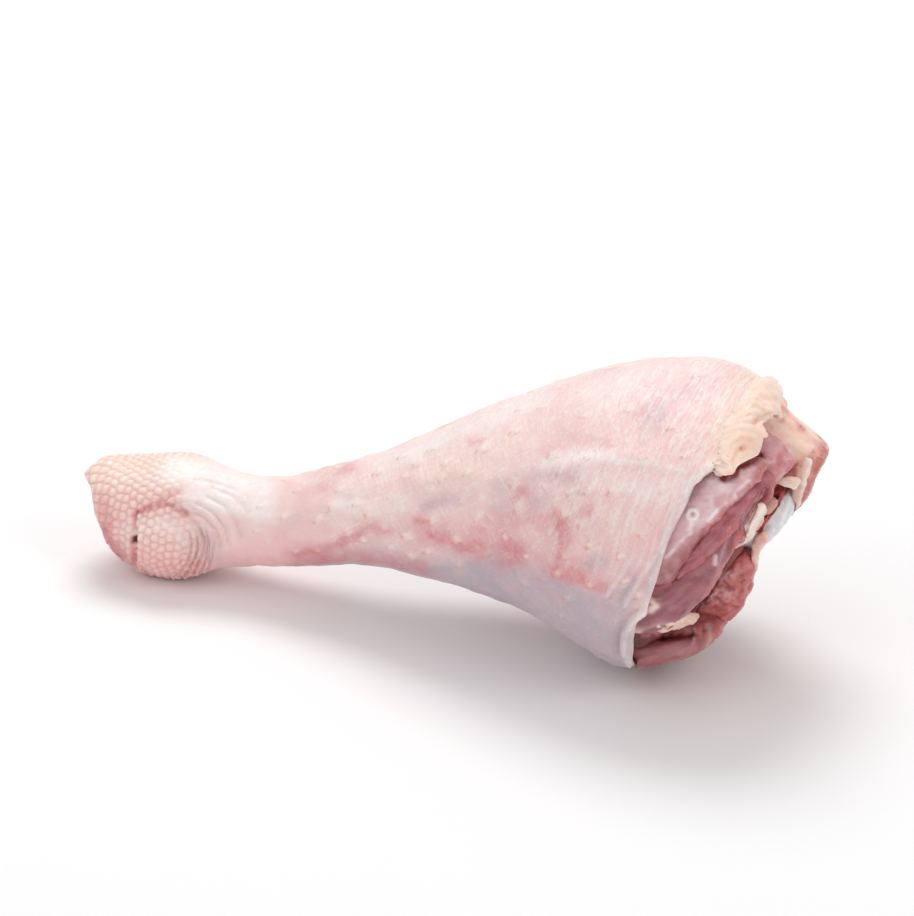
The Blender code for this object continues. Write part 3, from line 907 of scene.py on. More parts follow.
@dataclass(frozen=True)
class FleshFinish:
    """Raw turkey meat, with its fibres, thin silvery membrane and wet sheen, and painted highlights and shade
    where its marks put them.
    """

    name: str
    colour: Colour
    dark: Colour
    # Membrane colour, also painted as highlights.
    film_and_gleam: Colour = tint(222, 190, 192)
    fat: Colour = tint(246, 222, 198)
    # Dark red of blood, also painted as shade in gaps, grooves and under the fat flap.
    blood_and_shade: Colour = tint(112, 26, 26)
    cut: Colour = tint(198, 104, 106)
    film_share: float = 0.18
    grain_lean: float = 30.0
    gloss: Gloss = Gloss.WET_FLESH
    fibre_rise: float = 0.22
    grain_rise: float = 0.18
    glow: Glow = Glow(0.18, (1.0, 0.30, 0.22), 0.0022, 0.16, 0.5)

    def material(self) -> bpy.types.Material:
        """Makes the material. It reads the masks that the mesh keeps: membrane with painted highlights, cut
        faces, fat, and blood with painted shade.

        Returns:
            The material.
        """
        make = Recipe(self.name)
        along = make.place((0.14, 1.0, 1.0), lean=self.grain_lean)
        fibres = make.noise(0.9, along, detail=3.0, twist=0.4)
        bundles = make.noise(3.4, along, detail=2.0, twist=0.6)
        patch = make.noise(7.0, detail=4.0)
        colour = make.mix(bundles.step(0.35, 0.68), self.dark, self.colour)
        colour = make.mix(fibres.step(0.5, 0.8) * 0.14, colour, self.film_and_gleam)
        haze = patch.step(0.45, 0.75) * self.film_share
        # Membrane, and painted highlights.
        colour = make.mix(haze + make.kept("film_and_gleam"), colour, self.film_and_gleam)
        flecks = make.noise(1.3, detail=4.0, twist=0.8)
        colour = make.mix(make.kept("cut") * (0.45 + 0.8 * flecks), colour, self.cut)
        colour = make.mix(make.kept("cut") * flecks.step(0.56, 0.70) * 0.6, colour, self.film_and_gleam)
        colour = make.mix(make.kept("fat"), colour, self.fat)
        # Blood, and painted shade in gaps, grooves and under the fat flap.
        colour = make.mix(make.kept("blood_and_shade"), colour, self.blood_and_shade)
        normal = make.bumps((fibres, self.fibre_rise), (make.noise(1.8, detail=2.0), self.grain_rise))
        return make.wet(colour, 0.15 * patch, normal, self.gloss, self.glow)


@dataclass(frozen=True)
class FatFinish:
    """Pale soft fat, faintly marbled."""

    name: str = "soft_fat"
    light: Colour = tint(254, 226, 210)
    deep: Colour = tint(247, 198, 174)
    pore: Colour = tint(226, 140, 112)
    glow: Glow = Glow(0.28, (1.0, 0.55, 0.35), 0.003, 0.25, 0.45)

    def material(self) -> bpy.types.Material:
        """Makes the material. It reads the hollow and pore masks that the mesh keeps.

        Returns:
            The material.
        """
        make = Recipe(self.name)
        patch = make.noise(5.0, detail=3.0)
        fine = make.noise(1.2, detail=3.0)
        colour = make.mix(patch.step(0.35, 0.7) * 0.55 + make.kept("hollow") * 0.8, self.light, self.deep)
        colour = make.mix(make.kept("pore"), colour, self.pore)
        normal = make.bumps((fine, 0.12), (patch, 0.3))
        return make.wet(colour, 0.12 * fine, normal, Gloss.MOIST_FAT, self.glow)


@dataclass(frozen=True)
class GristleFinish:
    """Tendon, ligament or cartilage: pale, smooth and wet, with painted gleams."""

    name: str
    colour: Colour
    shade: Colour
    stain_and_painted_light: Colour = tint(176, 60, 48)
    gleam: Colour = tint(252, 250, 250)
    glow: Glow = Glow(0.25, (0.9, 0.7, 0.6), 0.002, 0.12, 0.55)

    def material(self) -> bpy.types.Material:
        """Makes the material. It reads the masks that the mesh keeps: blood stains with painted shade, and
        painted gleams.

        Returns:
            The material.
        """
        make = Recipe(self.name)
        strands = make.noise(1.0, make.place((0.3, 1.0, 0.35), lean=35.0), detail=3.0, twist=0.4)
        patch = make.noise(4.0, detail=3.0)
        colour = make.mix(strands.step(0.35, 0.7) * 0.5 + patch.step(0.4, 0.8) * 0.4, self.colour, self.shade)
        # Painted gleams: white highlights.
        colour = make.mix(make.kept("film_and_gleam") * (0.4 + strands), colour, self.gleam)
        # Blood stains, and painted shade in the grooves between a tendon's strands.
        colour = make.mix(make.kept("stain_and_painted_light") * (0.5 + patch), colour, self.stain_and_painted_light)
        return make.wet(colour, 0.1 * patch, make.bumps((strands, 0.12)), Gloss.WET_GRISTLE, self.glow)


@dataclass(frozen=True)
class FloorFinish:
    """A matt, nearly white sweep."""

    colour: Colour = tint(248, 248, 248)
    shade: Colour = tint(244, 244, 245)
    roughness: float = 0.85
    specular: float = 0.2

    def material(self) -> bpy.types.Material:
        """Makes the material.

        Returns:
            The material.
        """
        make = Recipe("studio_floor")
        faint = make.noise(40.0, detail=2.0)
        colour = make.mix(faint * 0.15, self.colour, self.shade)
        return make.finish(colour, self.roughness, None, Specular_IOR_Level=self.specular)


# ---- the skin ------------------------------------------------------------------------------------


@dataclass(frozen=True)
class SkinSizes:
    """How finely the skin is made, and where its parts lie."""

    columns: int = 328
    rows: int = 300
    row_steps: tuple[tuple[int, float], ...] = ((76, 1.1), (72, 1.0), (62, 0.5))
    opening_rows: int = 8
    inner_rows: int = 34
    inner_margins: tuple[int, int] = (12, 2)
    cap_rows: int = 40
    spine: tuple[float, float, float] = (-118.0, 57.0, 2.0)
    hock: float = -103.0
    cap_turn: float = 63.0
    opening: tuple[float, float] = (-3.0, 16.0)
    opening_radius: float = 6.4
    opening_depth: float = 7.0
    edge_search: tuple[float, float] = (56.0, 112.0)
    wall: float = 1.5
    lip_wall: float = 2.2
    lip_from: tuple[float, float] = (62.0, 82.0)
    lip_bulge: float = 0.9
    hock_wall: float = 1.6
    hock_wall_from: tuple[float, float] = (-74.0, -90.0)
    scale_pitch: float = 2.8
    scales_from: float = -70.0
    scaly: tuple[float, float] = (-72.0, -88.0)
    pore_pitch: float = 10.5
    pores_from: float = -67.0


@dataclass(frozen=True)
class SkinRelief:
    """How high the skin's relief is, in millimetres."""

    scales: float = 0.74
    between_scales: float = 0.28
    wet_patch: float = 0.9
    broad_lumps: float = 0.7
    small_lumps: float = 0.22
    mounds: float = 0.50
    shank_cords: float = 0.30
    hoops: float = 0.12
    lip: float = 0.15
    lip_lumps: float = 0.4
    hock_wrinkles: float = 0.75
    dark_hole: float = 1.5


@dataclass(frozen=True)
class Crease:
    """A fold that the photograph shows in the skin."""

    line: Line
    width: float
    depth: float
    # How much it colours the skin: pink and painted shade in a crease, a painted highlight on a ridge.
    stain_and_painted_light: float = 0.0


@dataclass(frozen=True)
class Dent:
    """A hollow in the skin, or a boss where its depth is below 0, in millimetres."""

    spot: Spot
    radius: float
    depth: float


DENTS = (
    Dent((-116.0, -14.0, 7.0), 8.0, 1.2),
    Dent((-120.5, -3.5, 29.5), 3.4, -1.5),
    Dent((-112.0, -4.0, 33.0), 9.0, -0.6),
    Dent((-74.0, -10.0, 14.0), 8.0, 0.6),
)
CREASES = (
    Crease(((135, 514), (136, 540), (135, 572)), 2.6, 1.5, 0.7),
    Crease(((137, 512), (152, 506), (170, 504), (184, 513)), 4.0, 1.5, 0.8),
    Crease(((184, 513), (196, 524), (205, 540), (209, 562)), 3.4, 1.1, 0.4),
    Crease(((158, 500), (170, 494), (182, 492)), 3.2, 0.7, 0.6),
    Crease(((186, 511), (203, 516), (216, 530), (221, 546)), 2.4, 0.9, 0.25),
    Crease(((198, 503), (212, 511), (224, 526), (229, 545)), 2.2, 0.8, 0.25),
    Crease(((208, 497), (226, 507), (236, 523), (241, 538)), 2.4, 0.6, 0.25),
    Crease(((214, 488), (234, 497), (248, 512)), 2.2, 0.45, 0.2),
    Crease(((196, 480), (214, 482), (236, 490)), 2.2, 0.35, 0.15),
    Crease(((659, 556), (644, 580), (634, 606)), 2.4, 0.7),
    Crease(((648, 556), (633, 580), (618, 604)), 2.4, 0.8),
    Crease(((640, 552), (626, 574), (608, 600)), 2.4, 0.8),
    Crease(((628, 556), (614, 578), (600, 594)), 2.4, 0.6),
    Crease(((638, 611), (626, 620), (619, 633), (617, 652)), 2.0, 1.0, 0.15),
    Crease(((346, 532), (357, 527)), 1.6, 0.5, 0.3),
    Crease(((568, 496), (580, 493)), 1.0, 0.45, 0.3),
    Crease(((588, 548), (599, 543)), 1.0, 0.55, 0.3),
)
# Raised folds, coloured with a painted highlight.
RIDGES = (
    Crease(((300, 560), (370, 508), (440, 470), (500, 480), (560, 470), (620, 455), (700, 470)), 9.0, 0.5),
    Crease(((130, 516), (131, 540), (130, 568)), 2.4, 0.5),
    Crease(((139, 520), (141, 545), (140, 570)), 2.6, 0.7),
    Crease(((644, 611), (631, 622), (625, 634), (624, 650), (629, 662)), 3.2, 1.7, 1.0),
    Crease(((712, 456), (717, 432), (727, 404), (741, 382), (750, 372)), 9.0, 0.4),
    Crease(((696, 480), (704, 469), (713, 467)), 3.0, 0.6, 0.9),
    Crease(((568, 492), (580, 489)), 1.4, 0.5, 0.4),
    Crease(((587, 544), (598, 539)), 1.4, 0.5, 0.4),
    Crease(((590, 552), (601, 547)), 1.4, 0.4, 0.4),
    Crease(((654, 556), (638, 582), (625, 606)), 2.4, 0.6, 0.7),
    Crease(((634, 553), (620, 576), (606, 596)), 2.4, 0.6, 0.6),
    Crease(((348, 528), (360, 523)), 1.8, 0.5, 0.6),
)
BLUSHES = (
    Crease(((322, 482), (336, 476), (348, 470)), 8.0, 0.9),
    Crease(((343, 542), (352, 537), (362, 533)), 6.0, 1.0),
    Crease(((300, 553), (320, 550), (343, 542)), 5.0, 0.5),
    Crease(((372, 527), (386, 531)), 6.0, 0.7),
    Crease(((418, 520), (428, 524), (432, 533), (441, 538), (455, 541)), 4.0, 0.95),
    Crease(((463, 548), (476, 549), (480, 556)), 7.0, 0.85),
    Crease(((514, 499), (520, 491), (526, 494)), 6.0, 0.8),
    Crease(((556, 513), (563, 522), (566, 540), (560, 555)), 5.0, 0.85),
    Crease(((556, 571), (572, 575), (590, 583), (604, 588)), 6.0, 0.8),
    Crease(((582, 513), (590, 510), (584, 518)), 6.0, 0.55),
    Crease(((472, 441), (480, 441)), 5.0, 0.7),
    Crease(((430, 533), (470, 538), (510, 548), (540, 560), (580, 572)), 15.0, 0.55),
    Crease(((490, 520), (530, 520), (560, 530)), 13.0, 0.55),
    Crease(((505, 540), (518, 560), (500, 566)), 8.0, 0.5),
    Crease(((548, 452), (560, 447)), 6.0, 0.4),
    Crease(((632, 396), (640, 408)), 6.0, 0.45),
    Crease(((655, 398), (662, 404)), 4.0, 0.4),
    Crease(((600, 490), (640, 500), (655, 525)), 12.0, 0.12),
    Crease(((300, 560), (360, 560), (420, 572)), 12.0, 0.75),
    Crease(((655, 380), (690, 390), (710, 410)), 16.0, 0.30),
    Crease(((590, 440), (610, 446)), 7.0, 0.35),
    Crease(((560, 430), (575, 440)), 8.0, 0.25),
    Crease(((104, 500), (108, 520), (104, 545)), 7.0, 0.7),
    Crease(((105, 540), (112, 548), (122, 558)), 6.0, 1.0),
    Crease(((150, 470), (160, 480), (176, 492)), 7.0, 0.35),
)
# Lilac painted shade, and the lilac of thin skin over the dark meat at the edge.
LILAC_AND_SHADE = (
    Crease(((428, 506), (450, 499), (470, 497)), 8.0, 0.6),
    Crease(((500, 486), (520, 480), (550, 474), (575, 480)), 10.0, 0.45),
    Crease(((300, 566), (360, 568), (410, 572), (450, 578)), 10.0, 0.7),
    Crease(((455, 583), (505, 576), (545, 590), (590, 612), (625, 640)), 20.0, 1.0),
    Crease(((480, 600), (540, 620), (600, 655)), 20.0, 0.9),
    Crease(((590, 563), (600, 560)), 9.0, 0.6),
    Crease(((627, 596), (622, 604)), 7.0, 0.9),
    Crease(((636, 580), (628, 592)), 6.0, 0.5),
    Crease(((500, 505), (545, 500)), 12.0, 0.4),
    Crease(((655, 415), (675, 398), (700, 386)), 13.0, 0.55),
    Crease(((205, 530), (214, 548)), 9.0, 0.25),
    Crease(((180, 500), (196, 510)), 5.0, 0.5),
    Crease(((120, 545), (128, 560)), 6.0, 0.4),
    Crease(((690, 488), (682, 502), (672, 521), (665, 540), (658, 560), (649, 592)), 4.5, 0.55),
)
# Painted highlights, on lit ridges and tops.
PAINTED_HIGHLIGHTS = (
    Crease(((548, 462), (580, 456), (612, 456)), 6.0, 0.8),
    Crease(((618, 462), (650, 463), (684, 471)), 3.0, 0.8),
    Crease(((590, 400), (640, 378), (700, 366)), 20.0, 0.35),
    Crease(((380, 466), (460, 430), (540, 395)), 12.0, 0.6),
    Crease(((176, 468), (205, 468), (235, 478), (262, 488)), 15.0, 0.9),
    Crease(((196, 496), (230, 503), (262, 510)), 14.0, 0.9),
    Crease(((132, 530), (160, 525), (190, 535)), 12.0, 0.35),
    Crease(((640, 500), (690, 480)), 10.0, 0.4),
    Crease(((300, 480), (350, 478)), 6.0, 0.5),
    Crease(((340, 503), (380, 508), (404, 502)), 11.0, 0.6),
    Crease(((120, 474), (150, 480), (180, 474)), 11.0, 0.35),
    Crease(((585, 478), (600, 482), (640, 486)), 9.0, 0.45),
)
CREAMS = (
    Crease(((712, 462), (716, 436), (726, 408), (740, 384), (750, 374)), 8.0, 0.9),
    Crease(((104, 468), (140, 462), (175, 460)), 19.0, 1.0),
    Crease(((440, 470), (470, 472), (490, 470)), 12.0, 0.4),
    Crease(((150, 545), (178, 552)), 18.0, 0.45),
    Crease(((204, 478), (209, 478)), 2.5, 1.0),
    Crease(((231, 477), (237, 477)), 2.5, 1.0),
)
FEATHER_MARKS: Line = (
    (432, 449), (482, 449), (468, 474), (432, 491), (465, 497), (433, 519), (478, 518), (520, 507),
    (456, 539), (505, 537), (486, 556), (526, 556), (550, 532), (565, 513), (572, 494), (588, 492),
    (561, 473), (612, 520), (592, 546), (565, 555), (557, 573), (590, 584), (567, 598), (524, 582),
    (459, 565), (429, 550), (613, 492), (643, 533), (516, 484), (553, 455), (447, 463), (623, 582),
    (620, 557), (397, 501), (403, 511), (370, 514), (384, 526), (348, 531), (363, 540), (408, 535),
    (419, 464), (431, 481), (378, 473), (357, 504), (403, 457), (406, 477), (488, 553), (333, 508),
    (318, 520), (340, 490), (390, 548), (412, 556), (443, 480), (515, 432), (637, 597), (583, 523),
)
# The hole in the hock, painted dark red as shade.
DARK_HOLE: tuple[Pixel, Pixel] = ((133.5, 540.0), (2.0, 3.8))
HOCK_OUTLINE: Line = (
    (98, 462), (88, 468), (85, 473), (87, 479), (91, 486), (93, 494), (94, 504), (96, 514), (100, 524),
    (103, 531), (105, 540), (107, 548), (112, 556), (122, 562), (134, 567),
)
WET_PATCH: tuple[Line, float] = (((104, 532), (108, 545), (120, 557)), 6.5)
EDGE_LINE: Line = (
    (712, 466), (701, 474), (695, 480), (688, 490), (683, 504), (674, 519), (668, 533), (661, 556),
    (653, 587), (646, 609), (634, 625), (631, 640), (632, 655), (636, 664),
)
HOCK_WRINKLES: tuple[Pixel, float] = ((160.0, 546.0), 5.6)


@dataclass(frozen=True)
class Zones:
    """Where the parts of the skin lie, as numbers for each of its points, most of them 0 to 1."""

    pillow: np.ndarray
    groove: np.ndarray
    scaly: np.ndarray
    up: np.ndarray
    belly: np.ndarray
    # The underside, which takes painted shade.
    lower: np.ndarray
    shank: np.ndarray
    lip: np.ndarray
    wet: np.ndarray
    hole: np.ndarray


class SkinSleeve:
    """The skin: one sleeve, scaly at the hock, with a rolled edge where the knife left it.

    A pair of numbers for unevenness is the size of its lumps and how far they go. A feather's three
    ranges are how strong its mound is, how much it leans and how long it is.
    """

    FAR = 90.0
    REACH = 84.0
    LEVEL = 25.0
    LEAST_RADIUS = 4.0
    THICK_END = 20.0
    HALVINGS = 9
    STEP_BACK = 0.5
    SEEN = 0.1
    EDGE_SHIFT = 14.0
    EDGE_STEP = 0.25
    SMOOTH_SPINE = 7
    SMOOTH_ROUND = (14, 6.0)
    SMOOTH_ALONG = (8, 3.2)
    SCALE_JITTER = 0.13
    SCALE_WARP = (2.6, 0.35)
    WARP_SHIFTS = (0.0, 40.0, 80.0)
    SCALY_WANDER = (9.0, 4.0)
    SHORTER_ON_TOP = 7.0
    LEAST_SCALY = 0.01
    PILLOW_CURVE = 2.2
    PORE_JITTER = 0.3
    PORE_CLEAR = 0.75
    PORE_SHARE = 0.48
    PORE_ROOM = 4.2
    PORE_REACH = 6.0
    SHOWN_FEATHER = ((0.6, 1.0), (0.4, 1.1), (0.8, 1.6))
    OTHER_FEATHER = ((0.2, 0.7), (0.4, 1.1), (0.6, 1.0))
    MOUND = (2.2, 1.5)
    MOUND_AHEAD = 0.3
    WRINKLE_FAN = (-0.1, 0.5)
    WRINKLE_RINGS = ((22.0, 34.0), (62.0, 50.0))
    WRINKLES_BELOW = (-24.0, -8.0)
    OPENING_FADE = (0.8, 0.5, 0.2)
    OPENING_BLEND = 0.35
    UNSEEN_INSIDE = 300.0
    RAISED_UNDERNEATH = 0.35

    def __init__(self, sizes: SkinSizes = SkinSizes(), rise: SkinRelief = SkinRelief()) -> None:
        """Args:
        sizes: how finely it is made, and where its parts lie.
        rise: how high its relief is.
        """
        self.sizes, self.rise = sizes, rise
        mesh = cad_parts["skin"].data
        self.solid = [v.co / MM for v in mesh.vertices]
        self.tree = BVHTree.FromPolygons(self.solid, [p.vertices[:] for p in mesh.polygons])
        self.turns = np.arange(sizes.columns) * 2.0 * math.pi / sizes.columns
        self.radial = np.stack([0 * self.turns, -np.sin(self.turns), np.cos(self.turns)], axis=1)
        self.spine = self._find_spine()
        self.unevenness = Unevenness(11)

    def _find_spine(self) -> tuple[np.ndarray, np.ndarray, np.ndarray]:
        """Finds the middle of the leg, from how wide and high the solid is along it.

        Returns:
            The places along the leg, and the y and z of its middle at each of them.
        """
        places = np.arange(*self.sizes.spine)
        sides, heights = [], []
        for x in places:
            low, high = self._across(Vector((x, 0, self.LEVEL)), Vector((0, 0, 1)))
            level = (low.z + high.z) / 2
            near, far = self._across(Vector((x, 0, level)), Vector((0, 1, 0)))
            sides.append((near.y + far.y) / 2)
            heights.append(level)
        count = self.SMOOTH_SPINE
        smooth = np.ones(count) / count
        ends = [np.pad(np.array(line), count // 2, mode="edge") for line in (sides, heights)]
        return places, np.convolve(ends[0], smooth, "valid"), np.convolve(ends[1], smooth, "valid")

    def _across(self, middle: Vector, way: Vector) -> list[Vector]:
        """Finds the solid's surface on both sides of a point.

        Args:
            middle: the point.
            way: the direction from its first side to its second.

        Returns:
            The two points of the surface.
        """
        return [self.tree.ray_cast(middle - ray * self.FAR, ray)[0] for ray in (way, -way)]

    def middle(self, x: np.ndarray) -> np.ndarray:
        """The spine's points at those x."""
        places, sides, heights = self.spine
        return np.stack([x, np.interp(x, places, sides), np.interp(x, places, heights)], axis=-1)

    def radius(self, middle: np.ndarray, way: np.ndarray) -> float:
        """How far out the solid's surface is from a point of the spine, or 0 where there is none.

        Args:
            middle: the point.
            way: the direction from it.

        Returns:
            The distance in millimetres.
        """
        start = Vector(middle) + Vector(way) * self.FAR
        hit = self.tree.ray_cast(start, -Vector(way), self.REACH)[0]
        return (hit - Vector(middle)).length if hit else 0.0

    def _edge(self) -> np.ndarray:
        """Finds where the skin ends, from the solid and from the photograph where that shows it.

        Returns:
            The x of its end, for each angle round the leg.
        """
        found = []
        for way in self.radial:
            low, high = self.sizes.edge_search
            for _ in range(self.HALVINGS):
                x = (low + high) / 2
                if self.radius(self.middle(np.array(x)), way) > self.THICK_END:
                    low = x
                else:
                    high = x
            found.append(low)
        ring = np.array(found) - self.STEP_BACK
        level, across = np.array([p[1] for p in EDGE_LINE]), np.array([p[0] for p in EDGE_LINE])
        for number, way in enumerate(self.radial):
            if way @ np.array(VIEW.axes()[2]) < self.SEEN:
                continue
            places = np.arange(ring[number] - self.EDGE_SHIFT, ring[number], self.EDGE_STEP)
            middles = self.middle(places)
            surface = np.array([m + way * self.radius(m, way) for m in middles])
            pixels = VIEW.pixels(surface)
            covered = (pixels[:, 1] > level[0]) & (pixels[:, 1] < level[-1])
            beyond = covered & (pixels[:, 0] > np.interp(pixels[:, 1], level, across))
            if beyond.any() and not beyond.all():
                ring[number] = places[int(np.argmax(beyond))]
        return sum(np.roll(ring, k) for k in range(-2, 3)) / 5.0

    def _outer(self) -> None:
        """Finds the outer face's rows, from the knee edge to the opening at the hock."""
        sizes = self.sizes
        edge = self._edge()
        steps = np.concatenate([np.full(count, step) for count, step in sizes.row_steps])
        share = np.concatenate([[0.0], np.cumsum(steps)])
        share /= share[-1]
        body_x = edge[:, None] + (sizes.hock - edge[:, None]) * share[None, :]
        turn = np.radians(sizes.cap_turn) * np.arange(1, sizes.cap_rows + 1) / sizes.cap_rows
        total = body_x.shape[1] + sizes.cap_rows
        middles = np.zeros((sizes.columns, total, 3))
        ways = np.zeros_like(middles)
        middles[:, : body_x.shape[1]] = self.middle(body_x)
        ways[:, : body_x.shape[1]] = self.radial[:, None, :]
        cap = middles[:, body_x.shape[1]:]
        cap[:] = self.middle(np.array(sizes.hock))
        late = (np.arange(1, sizes.cap_rows + 1) / sizes.cap_rows)[None, :, None] ** 2
        target = np.array([sizes.hock, *sizes.opening])
        cap += late * (target - cap)
        ways[:, body_x.shape[1]:] = (
            np.cos(turn)[None, :, None] * self.radial[:, None, :]
            + np.sin(turn)[None, :, None] * np.array([-1.0, 0.0, 0.0])
        )
        reach = np.array(
            [
                [self.radius(m, w) for m, w in zip(column, directions)]
                for column, directions in zip(middles, ways)
            ]
        )
        for row in range(1, total):
            missing = reach[:, row] < self.LEAST_RADIUS
            reach[missing, row] = reach[missing, row - 1]
        missing = reach[:, 0] < self.THICK_END
        reach[missing, 0] = reach[missing, 1]
        self.reach = self._smooth(reach)
        self.middles, self.ways = middles, ways
        self.grid = middles + ways * self.reach[:, :, None]
        length = np.linalg.norm(np.diff(self.grid, axis=1), axis=2)
        self.down = np.concatenate([np.zeros((sizes.columns, 1)), np.cumsum(length, axis=1)], axis=1)
        self.outer_rows = total

    def _smooth(self, reach: np.ndarray) -> np.ndarray:
        """Takes the facets out of a table of radii, round the leg and along it.

        Args:
            reach: the radii, by column and row.

        Returns:
            The smoothed radii.
        """
        half, width = self.SMOOTH_ROUND
        shifts = range(-half, half + 1)
        rounded = sum(w * np.roll(reach, k, axis=0) for k, w in zip(shifts, window(half, width)))
        half, width = self.SMOOTH_ALONG
        padded = np.pad(rounded, ((0, 0), (half, half)), mode="reflect", reflect_type="odd")
        return np.stack([np.convolve(column, window(half, width), "valid") for column in padded])

    def _inner(self) -> np.ndarray:
        """Works out the inner face.

        Returns:
            Its points by column and row, from the hock back to the knee edge.
        """
        sizes = self.sizes
        at_hock, at_knee = sizes.inner_margins
        rows = np.linspace(self.outer_rows - at_hock, at_knee, sizes.inner_rows).astype(int)
        x = self.middles[:, rows, 0]
        wall = sizes.wall + (sizes.lip_wall - sizes.wall) * ease(*sizes.lip_from, x)
        wall = wall + sizes.hock_wall * ease(*sizes.hock_wall_from, x)
        return self.middles[:, rows] + self.ways[:, rows] * (self.reach[:, rows] - wall)[:, :, None]

    def build(self) -> bpy.types.Object:
        """Makes the plain sleeve.

        Returns:
            The object, with its faces turned outwards.
        """
        sizes = self.sizes
        self._outer()
        inner = self._inner()
        free = sizes.rows - self.outer_rows - sizes.opening_rows - sizes.inner_rows
        lip = self._lip(inner[:, -1], free)
        rows = np.concatenate([self.grid, self._opening(), inner, lip], axis=1)
        outer = np.zeros((sizes.columns, sizes.rows))
        outer[:, : self.outer_rows] = 1.0
        outer[:, self.outer_rows: self.outer_rows + len(self.OPENING_FADE)] = self.OPENING_FADE
        outer[:, -free:] = np.linspace(0.1, 0.9, free)
        down = np.full((sizes.columns, sizes.rows), self.UNSEEN_INSIDE)
        down[:, : self.outer_rows] = self.down
        down[:, -free:] = 0.0
        self._close(rows, {"outer": outer, "from_edge": down})
        return self.piece

    def _opening(self) -> np.ndarray:
        """Works out the round opening at the hock, where the skin turns in.

        Returns:
            Its points by column and row, from the outer face inwards.
        """
        sizes, last = self.sizes, self.grid[:, -1]
        ring = np.array([0.0, *sizes.opening]) + sizes.opening_radius * self.radial
        opening = []
        for k in range(1, sizes.opening_rows + 1):
            share = k / sizes.opening_rows
            start = last + np.array([1.0, 0.0, 0.0]) * sizes.opening_depth * share
            goal = ring.copy()
            goal[:, 0] = last[:, 0] + sizes.opening_depth * share
            opening.append(start + (goal - start) * ease(0.0, self.OPENING_BLEND, np.array(share)))
        return np.stack(opening, axis=1)

    def _lip(self, final: np.ndarray, count: int) -> np.ndarray:
        """Works out the rounded cut edge at the knee.

        Args:
            final: the last row of the inner face.
            count: how many rows it has.

        Returns:
            Its points by column and row, from the inner face to the outer.
        """
        first, lip = self.grid[:, 0], []
        for k in range(1, count + 1):
            turn = math.pi * k / (count + 1)
            share = (1.0 - math.cos(turn)) / 2.0
            ahead = np.array([1.0, 0.0, 0.0]) * self.sizes.lip_bulge * math.sin(turn)
            lip.append(final + (first - final) * share + ahead)
        return np.stack(lip, axis=1)

    def _close(self, rows: np.ndarray, facts: dict[str, np.ndarray]) -> None:
        """Bends a flat grid round into the closed sleeve.

        Args:
            rows: the points, by column and row, in millimetres.
            facts: numbers for each of them, which are kept in self.facts.
        """
        columns, count = rows.shape[:2]
        bpy.ops.mesh.primitive_grid_add(x_subdivisions=count, y_subdivisions=columns, size=1.0)
        self.piece = bpy.context.object
        self.piece.name = self.piece.data.name = "skin_sleeve"
        wrapped = np.concatenate([rows, rows[:1]], axis=0)
        wrapped = np.concatenate([wrapped, wrapped[:, :1]], axis=1)
        self.shape = Sculpt(self.piece)
        self.shape.points = wrapped.reshape(-1, 3)
        for name, values in facts.items():
            edged = np.pad(values, ((0, 1), (0, 1)), mode="wrap")
            self.shape.store(name, edged.ravel())
        self.shape.write()
        Bench.only(self.piece)
        bpy.ops.object.mode_set(mode="EDIT")
        bpy.ops.mesh.select_all(action="SELECT")
        bpy.ops.mesh.remove_doubles(threshold=1e-7)
        bpy.ops.object.mode_set(mode="OBJECT")
        Bench.outward(self.piece)
        self.shape.read()
        self.outer, self.from_edge = (self.shape.take(name) for name in facts)

    def _seeds(self, from_row: int, pitch: float, jitter: float, seed: int) -> np.ndarray:
        """Staggered places over the outer face, about a pitch apart.

        Args:
            from_row: the first of the rows that they cover.
            pitch: how far apart they are, in millimetres.
            jitter: how unevenly they lie, as a share of the pitch.
            seed: the number that the unevenness is drawn from.

        Returns:
            Their column and row, as fractions of an index.
        """
        draw = np.random.default_rng(seed)
        down = self.down.mean(axis=0)
        found = []
        places = np.arange(down[from_row] + pitch / 2, down[-1] - pitch / 3, pitch * 0.87)
        for number, place in enumerate(places):
            row = float(np.interp(place, down, np.arange(len(down))))
            ring = self.grid[:, int(row)]
            girth = np.linalg.norm(ring - np.roll(ring, 1, axis=0), axis=1).sum()
            count = max(int(round(girth / pitch)), 6)
            columns = (np.arange(count) + 0.5 * (number % 2)) / count * self.sizes.columns
            step = self.sizes.columns / count
            columns = columns + draw.uniform(-jitter, jitter, count) * step
            wander = draw.uniform(-jitter, jitter, count) * pitch
            rows = np.interp(place + wander, down, np.arange(len(down)))
            found += list(zip(columns % self.sizes.columns, rows))
        return np.array(found)

    def _on_grid(self, seeds: np.ndarray) -> np.ndarray:
        """Finds places on the outer face.

        Args:
            seeds: the column and row of each, as fractions of an index.

        Returns:
            The points.
        """
        column, row = seeds[:, 0], np.clip(seeds[:, 1], 0, self.outer_rows - 1.001)
        i, j = column.astype(int), row.astype(int)
        a, b = (column - i)[:, None], (row - j)[:, None]
        after = (i + 1) % self.sizes.columns
        return (
            self.grid[i, j] * (1 - a) * (1 - b)
            + self.grid[after, j] * a * (1 - b)
            + self.grid[i, j + 1] * (1 - a) * b
            + self.grid[after, j + 1] * a * b
        )

